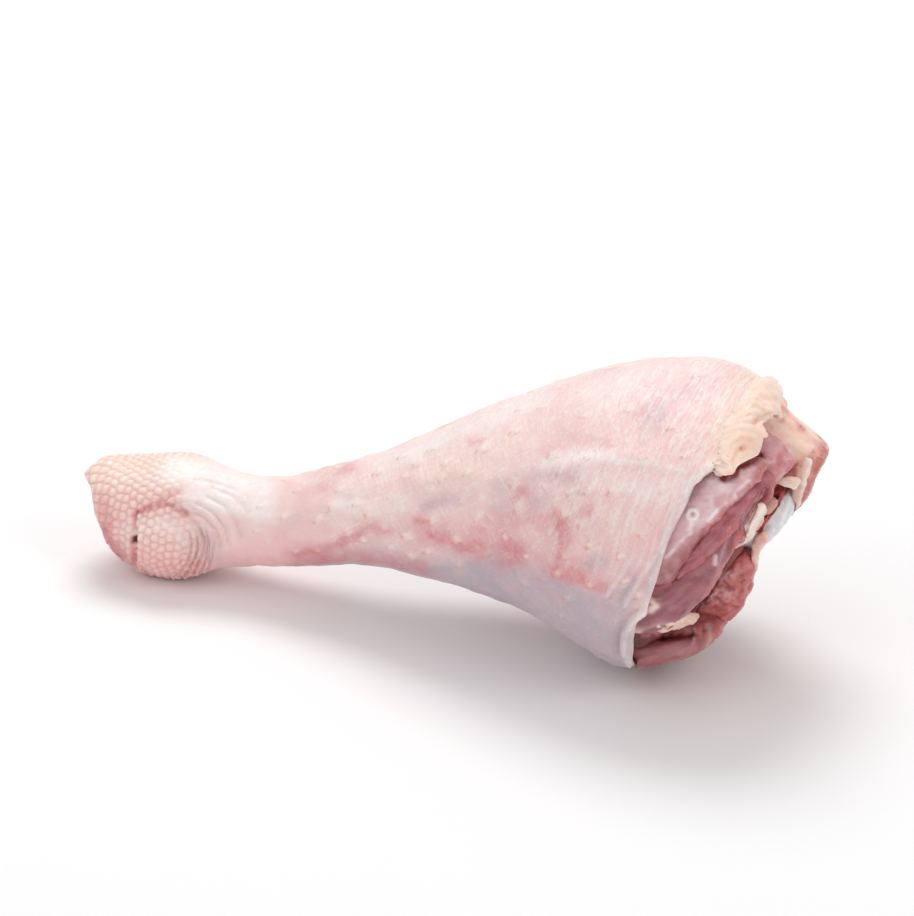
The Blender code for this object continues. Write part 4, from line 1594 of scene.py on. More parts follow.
    def _scales(self) -> tuple[np.ndarray, np.ndarray, np.ndarray]:
        """The scales of the hock.

        Returns:
            For each point, the height of its scale, the grooves between scales, and how scaly it is.
        """
        shape, sizes = self.shape, self.sizes
        start = int(np.argmin(np.abs(self.middles[0, :, 0] - sizes.scales_from)))
        spots = self._on_grid(self._seeds(start, sizes.scale_pitch, self.SCALE_JITTER, 5))
        tree = KDTree(len(spots))
        for number, spot in enumerate(spots):
            tree.insert(Vector(spot), number)
        tree.balance()
        size, far = self.SCALY_WANDER
        wander = self.unevenness.at(shape.points, size)
        x = shape.points[:, 0] + wander * far + self.SHORTER_ON_TOP * ease(0.1, 0.8, shape.normals[:, 2])
        share = ease(*sizes.scaly, x) * self.outer
        pillow = np.zeros(len(x))
        size, far = self.SCALE_WARP
        warped = shape.points + far * np.stack(
            [self.unevenness.at(shape.points + shift, size) for shift in self.WARP_SHIFTS], axis=1
        )
        for number in np.nonzero(share > self.LEAST_SCALY)[0]:
            near = tree.find_n(Vector(warped[number]), 2)
            pillow[number] = (near[1][2] - near[0][2]) / sizes.scale_pitch
        soft = 1.0 - (1.0 - np.clip(pillow, 0.0, 1.0)) ** self.PILLOW_CURVE
        groove = 1.0 - ease(0.0, 0.5, pillow)
        return soft, groove * share, share

    def _pore_spots(self) -> tuple[np.ndarray, int]:
        """Finds where the feathers were: as the photograph shows them, and spread evenly elsewhere.

        Returns:
            The spots, and how many of them the photograph shows. Those come first.
        """
        sizes = self.sizes
        seen = [self._under_pixel(mark) for mark in FEATHER_MARKS]
        seen = np.array([spot for spot in seen if spot is not None])
        spots = list(seen)
        for spot in self._on_grid(self._seeds(4, sizes.pore_pitch, self.PORE_JITTER, 8)):
            clear = np.linalg.norm(seen - spot, axis=1).min() > self.PORE_CLEAR * sizes.pore_pitch
            if clear and spot[0] > sizes.pores_from:
                spots.append(spot)
        return np.array(spots), len(seen)

    @staticmethod
    def _lie(facing: np.ndarray, lean: float) -> tuple[np.ndarray, np.ndarray]:
        """Finds which way a feather lay.

        Args:
            facing: the skin's normal.
            lean: how much it leaned upwards, away from the knee.

        Returns:
            The ways along and across it.
        """
        rise = np.cross(np.cross(facing, [0.0, 0.0, 1.0]), facing)
        way = np.array([1.0, 0.0, 0.0]) + lean * rise / max(np.linalg.norm(rise), 0.3)
        way = way - (way @ facing) * facing / (facing @ facing)
        way /= np.linalg.norm(way)
        side = np.cross(facing, way)
        return way, side / np.linalg.norm(side)

    def _pores(self) -> dict[str, np.ndarray]:
        """The mounds that the feathers left.

        Returns:
            For each point, the mounds themselves, and its place along and across the nearest.
        """
        points, normals = self.shape.points, self.shape.normals
        draw = np.random.default_rng(9)
        spots, shown = self._pore_spots()
        names = ("mound", "quill", "quill_along", "quill_across")
        found = {name: np.zeros(len(points)) for name in names}
        closest = np.full(len(points), np.inf)
        for number, spot in enumerate(spots):
            ranges = self.SHOWN_FEATHER if number < shown else self.OTHER_FEATHER
            strong, lean, long = (draw.uniform(*bounds) for bounds in ranges)
            apart = np.sort(np.linalg.norm(spots - spot, axis=1))[1]
            room = min(self.PORE_ROOM, self.PORE_SHARE * apart)
            near = np.nonzero(np.abs(points[:, 0] - spot[0]) < self.PORE_REACH)[0]
            distance = np.linalg.norm(points[near] - spot, axis=1)
            near = near[(distance < np.minimum(self.PORE_REACH, closest[near])) & (self.outer[near] > 0.5)]
            if not len(near):
                continue
            way, side = self._lie(normals[near].mean(axis=0), lean)
            away = points[near] - spot
            closest[near] = np.linalg.norm(away, axis=1)
            along, across = away @ way / long, away @ side / long
            lengthwise = bell(along - self.MOUND_AHEAD, self.MOUND[0])
            found["mound"][near] = strong * lengthwise * bell(across, self.MOUND[1])
            found["quill"][near] = strong * ease(room, 0.7 * room, closest[near])
            found["quill_along"][near] = along
            found["quill_across"][near] = across
        return found

    def _under_pixel(self, pixel: Pixel) -> np.ndarray | None:
        """Finds what a pixel of the photograph sees.

        Args:
            pixel: the pixel.

        Returns:
            The point of the skin, or None.
        """
        right, up, back = VIEW.axes()
        offset = right * (pixel[0] - VIEW.width / 2) - up * (pixel[1] - VIEW.height / 2)
        eye = VIEW.aim() + back * VIEW.distance
        way = VIEW.aim() + offset / VIEW.pixels_per_mm - eye
        hit = self.tree.ray_cast(eye, way.normalized())[0]
        return np.array(hit) if hit else None

    def _wrinkles(self) -> np.ndarray:
        """The folds that fan out round the knuckle of the hock.

        Returns:
            Their height for each point, -1 to 1.
        """
        centre, pitch = HOCK_WRINKLES
        away = self.shape.pixels - np.array(centre)
        ring = np.linalg.norm(away, axis=1)
        sector = ease(*self.WRINKLE_FAN, away[:, 0] / np.maximum(ring, 1.0)) * self.shape.facing
        for limits in self.WRINKLE_RINGS:
            sector = sector * ease(*limits, ring)
        sector = sector * ease(*self.WRINKLES_BELOW, away[:, 1])
        return np.sin(2.0 * math.pi * ring / pitch + self.unevenness.at(self.shape.points, 5.0)) * sector

    def _hole(self) -> np.ndarray:
        """The small dark hole in the fold of the knuckle, 0 to 1 for each point; its darkness is painted
        shade, in dark red.
        """
        spot, half = (np.array(pair) for pair in DARK_HOLE)
        return ease(1.25, 0.75, np.linalg.norm((self.shape.pixels - spot) / half, axis=1)) * self.shape.facing

    def _fold_tint_and_light(self, folds: tuple[Crease, ...], spread: float) -> np.ndarray:
        """How strongly folds colour the skin: pink with painted shade in the creases, painted highlights on
        the ridges.

        Args:
            folds: the folds.
            spread: how wide their colour is, as a share of their width.

        Returns:
            The colour of each point, 0 and up.
        """
        return sum(self.shape.stroke(fold.line, fold.width * spread) * fold.stain_and_painted_light for fold in folds)

    def _relief(self, zones: Zones, mound: np.ndarray) -> np.ndarray:
        """The skin's relief.

        Args:
            zones: the skin's zones.
            mound: the mounds that the feathers left.

        Returns:
            How far each point is raised, in millimetres.
        """
        shape, noise, rise = self.shape, self.unevenness, self.rise
        points, wet, scaly, belly = shape.points, zones.wet, zones.scaly, zones.belly
        height = (rise.scales * zones.pillow - rise.between_scales) * scaly * (1.0 - wet)
        height = height + rise.wet_patch * noise.rough(points, 3.0) * wet
        height += rise.broad_lumps * noise.rough(points, 24.0) * belly
        height += rise.small_lumps * noise.rough(points, 7.0)
        height += rise.mounds * mound * (1.0 - scaly)
        height += rise.shank_cords * noise.at(points, (2.4, 14.0, 14.0)) * zones.shank
        lit = ease(60.0, 25.0, self.from_edge) * ease(-0.2, 0.3, zones.up)
        height += rise.hoops * noise.at(points, (1.9, 10.0, 10.0)) * lit
        height += (rise.lip + rise.lip_lumps * noise.at(points, 6.0)) * zones.lip
        height += rise.hock_wrinkles * self._wrinkles()
        for crease in CREASES:
            height -= crease.depth * shape.stroke(crease.line, crease.width)
        for ridge in RIDGES:
            height += ridge.depth * shape.stroke(ridge.line, ridge.width)
        for dent in DENTS:
            height -= dent.depth * bell(np.linalg.norm(points - np.array(dent.spot), axis=1), dent.radius)
        return height - rise.dark_hole * zones.hole

    def _colours(self, zones: Zones, mound: np.ndarray) -> dict[str, np.ndarray]:
        """The skin's coloured zones, with its painted highlights and shade among them.

        Args:
            zones: the skin's zones.
            mound: the mounds that the feathers left.

        Returns:
            The masks that its finish reads, by name.
        """
        shape, noise = self.shape, self.unevenness
        points, wet, scaly, belly, lower = shape.points, zones.wet, zones.scaly, zones.belly, zones.lower
        marks = {
            kind: np.clip(sum(line.depth * shape.stroke(line.line, line.width) for line in lines), 0, 1)
            for kind, lines in (("blush", BLUSHES), ("lilac_and_shade", LILAC_AND_SHADE), ("pale_highlight", PAINTED_HIGHLIGHTS), ("cream", CREAMS))
        }
        # Sides turned away from the camera take more painted shade.
        turned_away_shade = 1.0 - shape.facing
        patches = ease(0.15, 0.6, noise.rough(points, 16.0))
        # Red blotches, with painted shade on turned-away sides, and the wet patch's own red.
        marks["blush"] += patches * (0.10 + 0.5 * turned_away_shade) * belly + 0.9 * wet
        # Lilac painted shade on the underside and turned-away sides.
        marks["lilac_and_shade"] += (0.45 + 0.4 * turned_away_shade) * lower * belly + 0.15 * patches
        # Painted highlights on the ridges, the rolled edge and the top.
        marks["pale_highlight"] += 0.8 * self._fold_tint_and_light(RIDGES, 0.8) + 0.4 * zones.lip + 0.12 * ease(0.1, 0.9, zones.up)
        # Less mound cream on the underside, in its painted shade.
        marks["cream"] += 0.5 * scaly * ease(-0.2, 0.9, zones.up) + 0.3 * mound * (1.0 - 0.6 * lower)
        # Pinker on the underside as painted shade, off the belly, and at random.
        marks["pink"] = 0.35 * lower + 0.3 * (1 - belly) + 0.3 * ease(-0.4, 0.4, noise.rough(points, 11.0))
        # Pink in the scale grooves and creases: their own colour, and painted shade.
        marks["groove"] = 0.50 * zones.groove * (1.0 - wet) + 0.7 * self._fold_tint_and_light(CREASES, 0.9) + 0.5 * wet
        marks["hoops"] = ease(75.0, 20.0, self.from_edge) * (1.0 - scaly)
        marks["hoops"] *= 0.12 + 0.88 * ease(-0.2, 0.35, zones.up)
        marks["cross"] = belly * ease(-0.7, 0.2, zones.up)
        # Dark red: painted shade in the hole, blood on the wet patch.
        marks["blood_and_shade"] = np.maximum(zones.hole, 0.23 * wet)
        return marks

    def dress(self) -> None:
        """Gives the sleeve its scales, folds, pores and coloured zones, and hands it over."""
        shape = self.shape
        x, up = shape.points[:, 0], shape.normals[:, 2]
        pillow, groove, scaly = self._scales()
        feathers = self._pores()
        zones = Zones(
            pillow, groove, scaly, up,
            belly=ease(-62.0, -20.0, x),
            # The underside, which takes painted shade.
            lower=ease(0.45, -0.5, up),
            shank=ease(-76.0, -64.0, x) * ease(-20.0, -40.0, x),
            lip=ease(0.2, 0.9, 1.0 - self.from_edge / 3.0),
            wet=shape.stroke(*WET_PATCH),
            hole=self._hole(),
        )
        height = self._relief(zones, feathers["mound"])
        marks = self._colours(zones, feathers["mound"])
        marks["quill"] = feathers["quill"] * (1.0 - scaly)
        flat = ease(0.0, 1.5, shape.points[:, 2])
        least = self.RAISED_UNDERNEATH
        shape.raise_by(height * self.outer * (least + (1.0 - least) * flat))
        shape.points[:, 2] = np.maximum(shape.points[:, 2], 0.0)
        shape.write()
        shape.press(HOCK_OUTLINE, 0.6)
        for name, values in marks.items():
            shape.store(name, np.clip(values, 0, 1) * self.outer)
        for name in ("quill_along", "quill_across"):
            shape.store(name, feathers[name])
        self.piece.data.shade_smooth()
        Bench.keep(self.piece, "skin", "skin")


# ---- meat, fat and bone --------------------------------------------------------------------------


KNEE_OUTLINE: Line = (
    (632, 670), (648, 668), (664, 663), (680, 660), (696, 653), (704, 649), (712, 642), (718, 636),
    (722, 631), (723, 626), (730, 621), (738, 612), (744, 605), (744, 599), (750, 592), (753, 583),
    (752, 576), (756, 570), (758, 560), (760, 552), (763, 547), (770, 541), (776, 535), (781, 529),
    (787, 523), (791, 516), (795, 510), (801, 505), (806, 499), (810, 493), (812, 487), (814, 480),
    (817, 474), (820, 468), (824, 462), (827, 456), (828, 450), (827, 444), (824, 438), (815, 432),
    (807, 426), (799, 420), (792, 414), (786, 408),
)


@dataclass(frozen=True)
class Mark:
    """A line or spot that the photograph shows on a piece."""

    kind: str
    line: Line
    width: float
    strength: float = 1.0
    rise: float = 0.0
    rough: float = 0.0


@dataclass(frozen=True)
class Patch:
    """A zone of a piece that takes a mark, whichever way it faces."""

    kind: str
    spot: Spot
    radius: float
    strength: float = 1.0


@dataclass(frozen=True)
class SoftSizes:
    """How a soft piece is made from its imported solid.

    The lumps, fibres and torn cut faces each have a size and a height. A piece with no look of its own
    takes the finish of its slot. It is cut off short of start, and lies within its limits.
    """

    node: str
    slot: str
    cell: float = 1.0
    passes: int = 6
    splits: int = 1
    lumps: tuple[float, float] = (9.0, 0.5)
    fibres: tuple[float, float] = (1.5, 0.16)
    torn: tuple[float, float] = (3.0, 0.5)
    swell: float = 0.0
    look: str = ""
    start: float = -200.0
    shift: Pixel = (0.0, 0.0)
    limits: tuple[Line, ...] = ()
    patches: tuple[Patch, ...] = ()
    marks: tuple[Mark, ...] = ()


class SoftPiece:
    """A muscle, tendon or piece of fat or bone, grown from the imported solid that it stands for."""

    # Membrane with painted highlights, fat, blood with painted shade, stains with painted shade and
    # highlights, hollows, pores and cut faces.
    MASKS = ("film_and_gleam", "fat", "blood_and_shade", "stain_and_painted_light", "hollow", "pore", "cut")
    LIMIT_RAGGED = 0.8
    START_SOFT = 1.5
    FIBRE_STRETCH = 10.0
    TORN_FACING = (0.55, 0.9)
    CUT_FACING = (0.62, 0.88)
    RAGGED_SIZE = 2.6
    RAGGED_SHARE = 1.4
    MOST_STROKE = 1.6
    KNEE_RAGGED = 0.7

    def __init__(self, sizes: SoftSizes, seed: int) -> None:
        """Args:
        sizes: how it is made.
        seed: the number that its unevenness is drawn from.
        """
        self.sizes = sizes
        self.noise = Unevenness(seed)

    def build(self) -> bpy.types.Object:
        """Makes its smooth shape.

        Returns:
            The object.
        """
        sizes = self.sizes
        self.piece = Bench.copy_of(sizes.node, f"soft_{sizes.node}")
        Bench.soften(self.piece, sizes.cell, sizes.passes, sizes.splits)
        self.shape = Sculpt(self.piece)
        right, up, _ = (np.array(axis) for axis in VIEW.axes())
        self.shape.points += (right * sizes.shift[0] - up * sizes.shift[1]) / VIEW.pixels_per_mm
        self.shape.write()
        for limit in sizes.limits:
            self.shape.press(limit, self.LIMIT_RAGGED)
        past = (sizes.start - self.shape.points[:, 0]) / self.START_SOFT
        self.shape.points[:, 0] += self.START_SOFT * np.logaddexp(0.0, past)
        self.shape.write()
        return self.piece

    def lengthwise(self) -> np.ndarray:
        """Turns the points along the piece's own length, width and thickness.

        Returns:
            The turned points.
        """
        away = self.shape.points - self.shape.points.mean(axis=0)
        _, ways = np.linalg.eigh(away.T @ away)
        return away @ ways[:, ::-1]

    def relief(self) -> np.ndarray:
        """The relief that a piece has before its marks.

        Returns:
            How far each point is raised, in millimetres.
        """
        sizes, points = self.sizes, self.shape.points
        own = self.lengthwise()
        size, high = sizes.lumps
        height = high * self.noise.rough(points, size)
        size, high = sizes.fibres
        height += high * self.noise.at(own, (self.FIBRE_STRETCH * size, size, size))
        size, high = sizes.torn
        cut = ease(*self.TORN_FACING, self.shape.normals[:, 0])
        height += high * self.noise.rough(points + 50.0, size) * cut
        return height

    def dress(self) -> None:
        """Gives it its relief and marks, and hands it over."""
        shape = self.shape
        height = self.relief() + self.sizes.swell
        masks = {name: np.zeros(len(height)) for name in self.MASKS}
        uneven = 0.15 * self.noise.at(shape.points, 3.0)
        masks["cut"] = ease(*self.CUT_FACING, shape.normals[:, 0] + uneven)
        for patch in self.sizes.patches:
            away = np.linalg.norm(shape.points - np.array(patch.spot), axis=1)
            masks[patch.kind] = np.maximum(masks[patch.kind], patch.strength * bell(away, patch.radius))
        ragged = self.noise.rough(shape.points + 80.0, self.RAGGED_SIZE)
        for mark in self.sizes.marks:
            stroke = shape.stroke(mark.line, mark.width)
            broken = np.clip(1.0 + self.RAGGED_SHARE * mark.rough * ragged, 0.0, self.MOST_STROKE)
            masks[mark.kind] = np.maximum(masks[mark.kind], stroke * mark.strength * broken)
            height += (mark.rise + mark.rough * ragged) * stroke
        shape.raise_by(height)
        shape.press(KNEE_OUTLINE, self.KNEE_RAGGED)
        shape.press(HOCK_OUTLINE)
        for name, values in masks.items():
            shape.store(name, values)
        Bench.keep(self.piece, self.sizes.slot, self.sizes.node)


class FatFlap(SoftPiece):
    """The shell of fat on top of the joint, fanned in ridges with a scalloped rim."""

    FAN_CENTRE: Pixel = (744.0, 462.0)
    FAN_SQUASH = (1.0, 0.85)
    FAN_PITCH = 7.0
    FAN_RISE = 0.20
    FAN_WANDER = (6.0, 4.0)
    SCALLOPS = (1.9, 1.2)
    SCALLOPS_FACING = (0.3, -0.1)
    LUMPS = (5.0, 0.45)
    HOLLOWS = (
        Crease(((742, 448),), 4.0, 1.2),
        Crease(((755, 395),), 4.0, -0.8),
        Crease(((768, 415), (756, 421)), 3.0, 2.0),
    )
    SEAM: Line = (
        (754, 374), (747, 387), (735, 404), (726, 420), (719, 440), (716, 452), (712, 474),
    )
    RIM: Line = (
        (710, 473), (718, 481), (723, 477), (733, 474), (736, 467), (741, 463), (750, 459), (758, 455),
        (761, 447), (763, 438),
    )
    RIM_RAGGED = 0.5
    BEDDED = 0.35
    BEDDED_FROM = (-2.0, 18.0)

    def relief(self) -> np.ndarray:
        """Ridges that follow its rim, scallops, and a dimple, a boss and a notch.

        Returns:
            How far each point is raised, in millimetres.
        """
        points, shape = self.shape.points, self.shape
        from_rim = np.linalg.norm((shape.pixels - np.array(self.FAN_CENTRE)) * self.FAN_SQUASH, axis=1)
        size, far = self.FAN_WANDER
        fan = np.sin(2.0 * math.pi * from_rim / self.FAN_PITCH + far * self.noise.at(points, size))
        turned_away = ease(*self.SCALLOPS_FACING, shape.normals @ np.array(VIEW.axes()[2]))
        size, high = self.SCALLOPS
        scallops = np.abs(self.noise.at(points, size)) * turned_away
        height = self.FAN_RISE * fan * shape.facing + high * scallops
        size, high = self.LUMPS
        height += high * self.noise.rough(points, size)
        for hollow in self.HOLLOWS:
            height -= hollow.depth * shape.stroke(hollow.line, hollow.width)
        return height

    def settle(self, skin: bpy.types.Object) -> None:
        """Beds its left side into the finished skin, so that it rises from it without a step.

        Args:
            skin: the skin's object.
        """
        tree = BVHTree.FromObject(skin, bpy.context.evaluated_depsgraph_get())
        shape = self.shape
        level, across = np.array([p[1] for p in self.SEAM]), np.array([p[0] for p in self.SEAM])
        beyond = shape.pixels[:, 0] - np.interp(shape.pixels[:, 1], level, across)
        share = ease(*self.BEDDED_FROM, beyond)
        for number in np.nonzero(share < 1.0)[0]:
            spot, way, _, _ = tree.find_nearest(Vector(shape.points[number] * MM))
            spot, way = np.array(spot) / MM, np.array(way)
            high = float((shape.points[number] - spot) @ way)
            goal = share[number] * high - self.BEDDED * (1.0 - share[number])
            if high > goal:
                shape.points[number] += way * (goal - high)
        shape.press(self.RIM, self.RIM_RAGGED)


FLESH_PIECES = (
    SoftSizes(
        "muscle_outer", "silverskin", 1.1, swell=0.8,
        marks=(
            Mark("film_and_gleam", ((768, 478), (745, 481), (737, 489), (729, 501), (713, 511), (706, 520)), 1.8,
                 1.0, 0.3, 0.9),
            Mark("film_and_gleam", ((710, 500), (704, 520), (700, 530)), 6.0, 0.35, 0.0, 1.0),
            # Darker, towards dark red, at the bottom of the membrane.
            Mark("blood_and_shade", ((701, 537), (686, 550), (672, 565), (660, 582)), 9.0, 0.60, 0.0, 0.3),
            Mark("blood_and_shade", ((704, 544), (690, 558), (677, 572), (667, 584)), 3.6, 0.35, -0.3, 0.4),
            Mark("fat", ((697, 514), (695, 518), (690, 519), (687, 515), (690, 510), (695, 510), (697, 514)),
                 2.1, 1.0, 0.7),
            Mark("fat", ((691, 521), (689, 528)), 3.2, 0.7, 0.3),
            Mark("blood_and_shade", ((692, 514),), 1.1, 0.4, -0.5),
            Mark("film_and_gleam", ((690, 532), (678, 542), (666, 556)), 1.7, 0.8, 0.2, 0.8),
            # Painted shadow under the fat flap's rim.
            Mark("blood_and_shade", ((722, 479), (734, 475), (738, 468), (749, 463), (760, 457)), 4.0, 1.3, -0.3),
            Mark("film_and_gleam", ((712, 480), (726, 486)), 6.0, 0.5),
        ),
    ),
    SoftSizes(
        "muscle_band", "red_flesh", 0.9, swell=0.9, look="band_flesh",
        marks=(Mark("film_and_gleam", ((745, 483), (730, 503), (700, 533)), 4.0, 0.25, 0.1),),
    ),
    SoftSizes(
        "muscle_calf", "flesh", 1.1, swell=0.9, look="mauve_flesh",
        limits=(
            ((676, 620), (687, 612), (699, 602), (706, 594), (711, 585), (717, 574), (722, 563), (729, 551),
             (736, 540)),
        ),
        marks=(
            Mark("film_and_gleam", ((699, 545), (682, 569), (657, 592)), 1.8, 0.55, 0.2),
            Mark("film_and_gleam", ((728, 531), (721, 552), (714, 574), (699, 600), (676, 617), (640, 627)), 1.6,
                 0.35, 0.2),
            # A painted highlight.
            Mark("film_and_gleam", ((715, 555), (714, 562)), 2.2, 1.0, 0.5),
            Mark("film_and_gleam", ((704, 553), (712, 545)), 5.0, 0.2, 0.3),
            Mark("fat", ((651, 598), (656, 603), (650, 606)), 3.6, 1.0, 0.9),
            Mark("fat", ((634, 626), (640, 630)), 3.4, 1.0, 0.8),
        ),
    ),
    SoftSizes(
        "muscle_strip", "flesh", 0.7, fibres=(1.1, 0.35), look="mauve_flesh",
        limits=(((735, 540), (740, 532), (746, 522), (752, 510), (760, 498), (766, 486), (768, 476)),),
        marks=(
            Mark("film_and_gleam", ((760, 486), (748, 504), (738, 522)), 1.5, 0.4, 0.3),
            Mark("film_and_gleam", ((764, 492), (752, 508), (743, 526)), 6.0, 0.45, 0.0, 0.6),
            Mark("blood_and_shade", ((765, 488), (754, 504), (742, 524)), 1.6, 0.3, -0.5),
        ),
    ),
    SoftSizes(
        "muscle_knee", "flesh", 0.9, swell=0.8, look="rosy_flesh",
        limits=(((768, 488), (774, 480), (784, 470), (793, 462), (799, 456), (804, 449)),),
        marks=(
            Mark("film_and_gleam", ((763, 466), (773, 461), (788, 460), (794, 456)), 1.6, 0.9, 0.25),
            Mark("film_and_gleam", ((773, 480), (783, 470), (796, 458)), 1.4, 0.8, 0.2),
            Mark("film_and_gleam", ((770, 448), (784, 454)), 8.0, 0.42),
            Mark("fat", ((740, 474), (752, 470), (765, 462)), 3.0, 0.55, 0.3),
            # Painted shadow under the fat flap's rim.
            Mark("blood_and_shade", ((734, 474), (738, 467), (749, 463), (760, 457)), 4.0, 1.2, -0.3),
        ),
    ),
    SoftSizes(
        "muscle_upper", "fascia", 1.1, swell=0.2, torn=(2.2, 0.9),
        marks=(
            Mark("cut", ((778, 477), (788, 471), (797, 465)), 5.0, 1.1, -0.3, 0.6),
            Mark("blood_and_shade", ((779, 474), (790, 467)), 2.4, 0.6, -0.2, 0.8),
            Mark("cut", ((822, 448), (819, 466), (808, 488), (797, 510)), 6.5, 1.0, 0.3),
            Mark("cut", ((812, 452), (806, 478)), 3.0, 0.7),
            Mark("fat", ((770, 420), (790, 440), (803, 452)), 5.0, 0.5, 0.3),
            Mark("film_and_gleam", ((806, 432), (815, 440), (810, 452)), 2.0, 0.5, 0.3),
        ),
    ),
    SoftSizes(
        "muscle_inner", "red_flesh", 0.8, lumps=(4.4, 0.9), torn=(2.4, 1.2), swell=0.5,
        marks=(
            # Painted shade in the gap beside the calf; the other blood marks here paint shade in its grooves
            # and hollows.
            Mark("blood_and_shade", ((735, 547), (722, 566), (710, 586), (699, 605), (686, 617)), 5.6, 0.95, -1.4),
            Mark("film_and_gleam", ((720, 577), (726, 572), (735, 573)), 3.4, 0.55, 0.2, 1.3),
            Mark("cut", ((750, 554), (741, 562), (736, 572)), 7.0, 0.6, 0.2, 1.0),
            Mark("film_and_gleam", ((712, 585), (720, 592), (730, 594)), 4.0, 0.3, 0.1, 1.6),
            Mark("blood_and_shade", ((722, 582), (730, 588)), 3.0, 0.4, -0.7, 1.0),
            Mark("cut", ((748, 578), (748, 590), (742, 602)), 6.0, 0.9, 0.0, 1.6),
            Mark("blood_and_shade", ((737, 578), (741, 588), (736, 598)), 2.4, 0.35, -0.6, 1.2),
            Mark("film_and_gleam", ((727, 592), (729, 597)), 1.6, 0.5, 0.3, 0.8),
            Mark("film_and_gleam", ((698, 607), (714, 602), (728, 600)), 1.8, 0.22, 0.25, 0.6),
            Mark("blood_and_shade", ((704, 612), (716, 608), (724, 608)), 5.0, 0.22),
            Mark("cut", ((728, 612), (716, 622), (704, 628)), 4.0, 0.4, 0.0, 1.2),
            Mark("blood_and_shade", ((712, 596), (724, 604), (734, 606)), 2.0, 0.4, -0.8, 1.0),
            Mark("film_and_gleam", ((742, 572), (746, 584), (743, 598)), 2.0, 0.6, 0.4, 1.6),
            Mark("film_and_gleam", ((706, 600), (716, 592)), 2.4, 0.5, 0.4, 1.6),
        ),
    ),
    SoftSizes(
        "muscle_under", "flesh", 1.0, swell=0.5,
        marks=(
            Mark("film_and_gleam", ((694, 628), (693, 642), (686, 652)), 1.6, 0.35, 0.4, 0.8),
            Mark("fat", ((707, 626), (709, 638), (704, 646)), 2.4, 0.3, 0.4, 0.8),
            # These blood marks paint shade in the grooves.
            Mark("blood_and_shade", ((702, 630), (702, 643)), 2.4, 0.3, -0.5),
            Mark("blood_and_shade", ((646, 633), (665, 637), (692, 634)), 3.5, 1.0, -1.2),
            Mark("blood_and_shade", ((634, 638), (640, 645)), 4.0, 0.5, -0.4),
            Mark("film_and_gleam", ((640, 652), (665, 653), (690, 649)), 5.0, 0.22),
        ),
    ),
    SoftSizes("muscle_back", "flesh", 1.2, swell=0.5),
    SoftSizes(
        "muscle_deep", "deep_flesh", 2.2,
        # Painted shade of the dark cavity.
        marks=(Mark("blood_and_shade", ((744, 538), (730, 555), (718, 576), (707, 596), (690, 613)), 7.0, 1.0, -0.3),),
    ),
    SoftSizes(
        "joint_flesh", "deep_flesh", 0.9, torn=(2.5, 0.5), swell=-0.7, look="joint_flesh",
        limits=(((756, 534), (766, 520), (778, 503), (789, 488), (795, 476)),),
    ),
    SoftSizes(
        "fat_lower", "fat", 0.5, passes=2, lumps=(2.6, 0.9), torn=(2.0, 0.8), look="pink_fat",
        marks=(Mark("pore", ((662, 626), (668, 629)), 1.6, 0.8), Mark("pore", ((684, 622),), 1.6, 0.7)),
    ),
    SoftSizes(
        "joint_capsule", "fat", 0.5, lumps=(3.0, 0.5), fibres=(0.9, 0.15), torn=(2.0, 0.3), look="pink_fat",
        limits=(
            ((757, 575), (758, 560), (761, 550), (766, 541), (769, 532), (770, 524)),
            ((756, 524), (753, 536), (750, 548), (750, 560), (751, 576)),
        ),
        marks=(Mark("hollow", ((758, 530), (762, 540)), 4.0, 0.8), Mark("pore", ((760, 527),), 2.5, 0.8)),
    ),
    SoftSizes(
        "tibia", "bone", 1.05, lumps=(6.0, 0.3), fibres=(1.0, 0.04), swell=0.4, start=-114.0,
        limits=(
            ((758, 551), (770, 541), (779, 530), (786, 520), (791, 511), (793, 503), (793, 494), (791, 486)),
        ),
        patches=(
            Patch("stain_and_painted_light", (-114.0, -3.0, 12.0), 5.0, 0.6),
            # A painted highlight.
            Patch("film_and_gleam", (-114.0, -4.5, 18.0), 3.0, 0.9),
        ),
        marks=(
            Mark("stain_and_painted_light", ((788, 487), (779, 499), (768, 515), (759, 530)), 2.2, 1.0, 0.3, 0.7),
            Mark("stain_and_painted_light", ((772, 482), (780, 488), (774, 497)), 6.0, 1.2),
            Mark("stain_and_painted_light", ((766, 526), (760, 534)), 3.0, 0.35, 0.0, 1.0),
            # A painted highlight.
            Mark("film_and_gleam", ((789, 494), (786, 508), (779, 524)), 2.0, 0.8, 0.2),
        ),
    ),
    SoftSizes("fibula", "bone", 0.6, lumps=(4.0, 0.25), fibres=(1.0, 0.04), look="bare_bone"),
    SoftSizes(
        "meniscus", "sinew", 0.5, passes=2, lumps=(3.0, 0.3),
        limits=(
            ((801, 476), (786, 477), (776, 479), (770, 481)),
            ((770, 482), (778, 484), (786, 487), (794, 490), (800, 489)),
        ),
        marks=(Mark("stain_and_painted_light", ((785, 471), (793, 466)), 2.0, 0.6, 0.2),),
    ),
    SoftSizes(
        "ligament", "sinew", 0.5, passes=3, lumps=(3.0, 0.3), fibres=(0.9, 0.2), torn=(2.0, 0.2), swell=0.6,
        look="pink_sinew",
        limits=(
            ((806, 448), (797, 463), (793, 478), (790, 492), (790, 508)),
            ((797, 508), (801, 492), (806, 476), (810, 460), (812, 448)),
        ),
        marks=(
            # A painted highlight.
            Mark("film_and_gleam", ((810, 455), (806, 468), (802, 482)), 1.6, 0.45, 0.2, 0.6),
            Mark("stain_and_painted_light", ((803, 456), (798, 470), (794, 484)), 1.6, 0.3, 0.0, 1.0),
        ),
    ),
    SoftSizes(
        "tendon", "sinew", 0.5, passes=3, lumps=(3.0, 0.6), fibres=(1.1, 0.5), torn=(2.0, 0.2), swell=0.3,
        shift=(-5.0, 6.0),
        marks=(
            # A painted highlight; the two marks below it paint shade in the grooves between its strands.
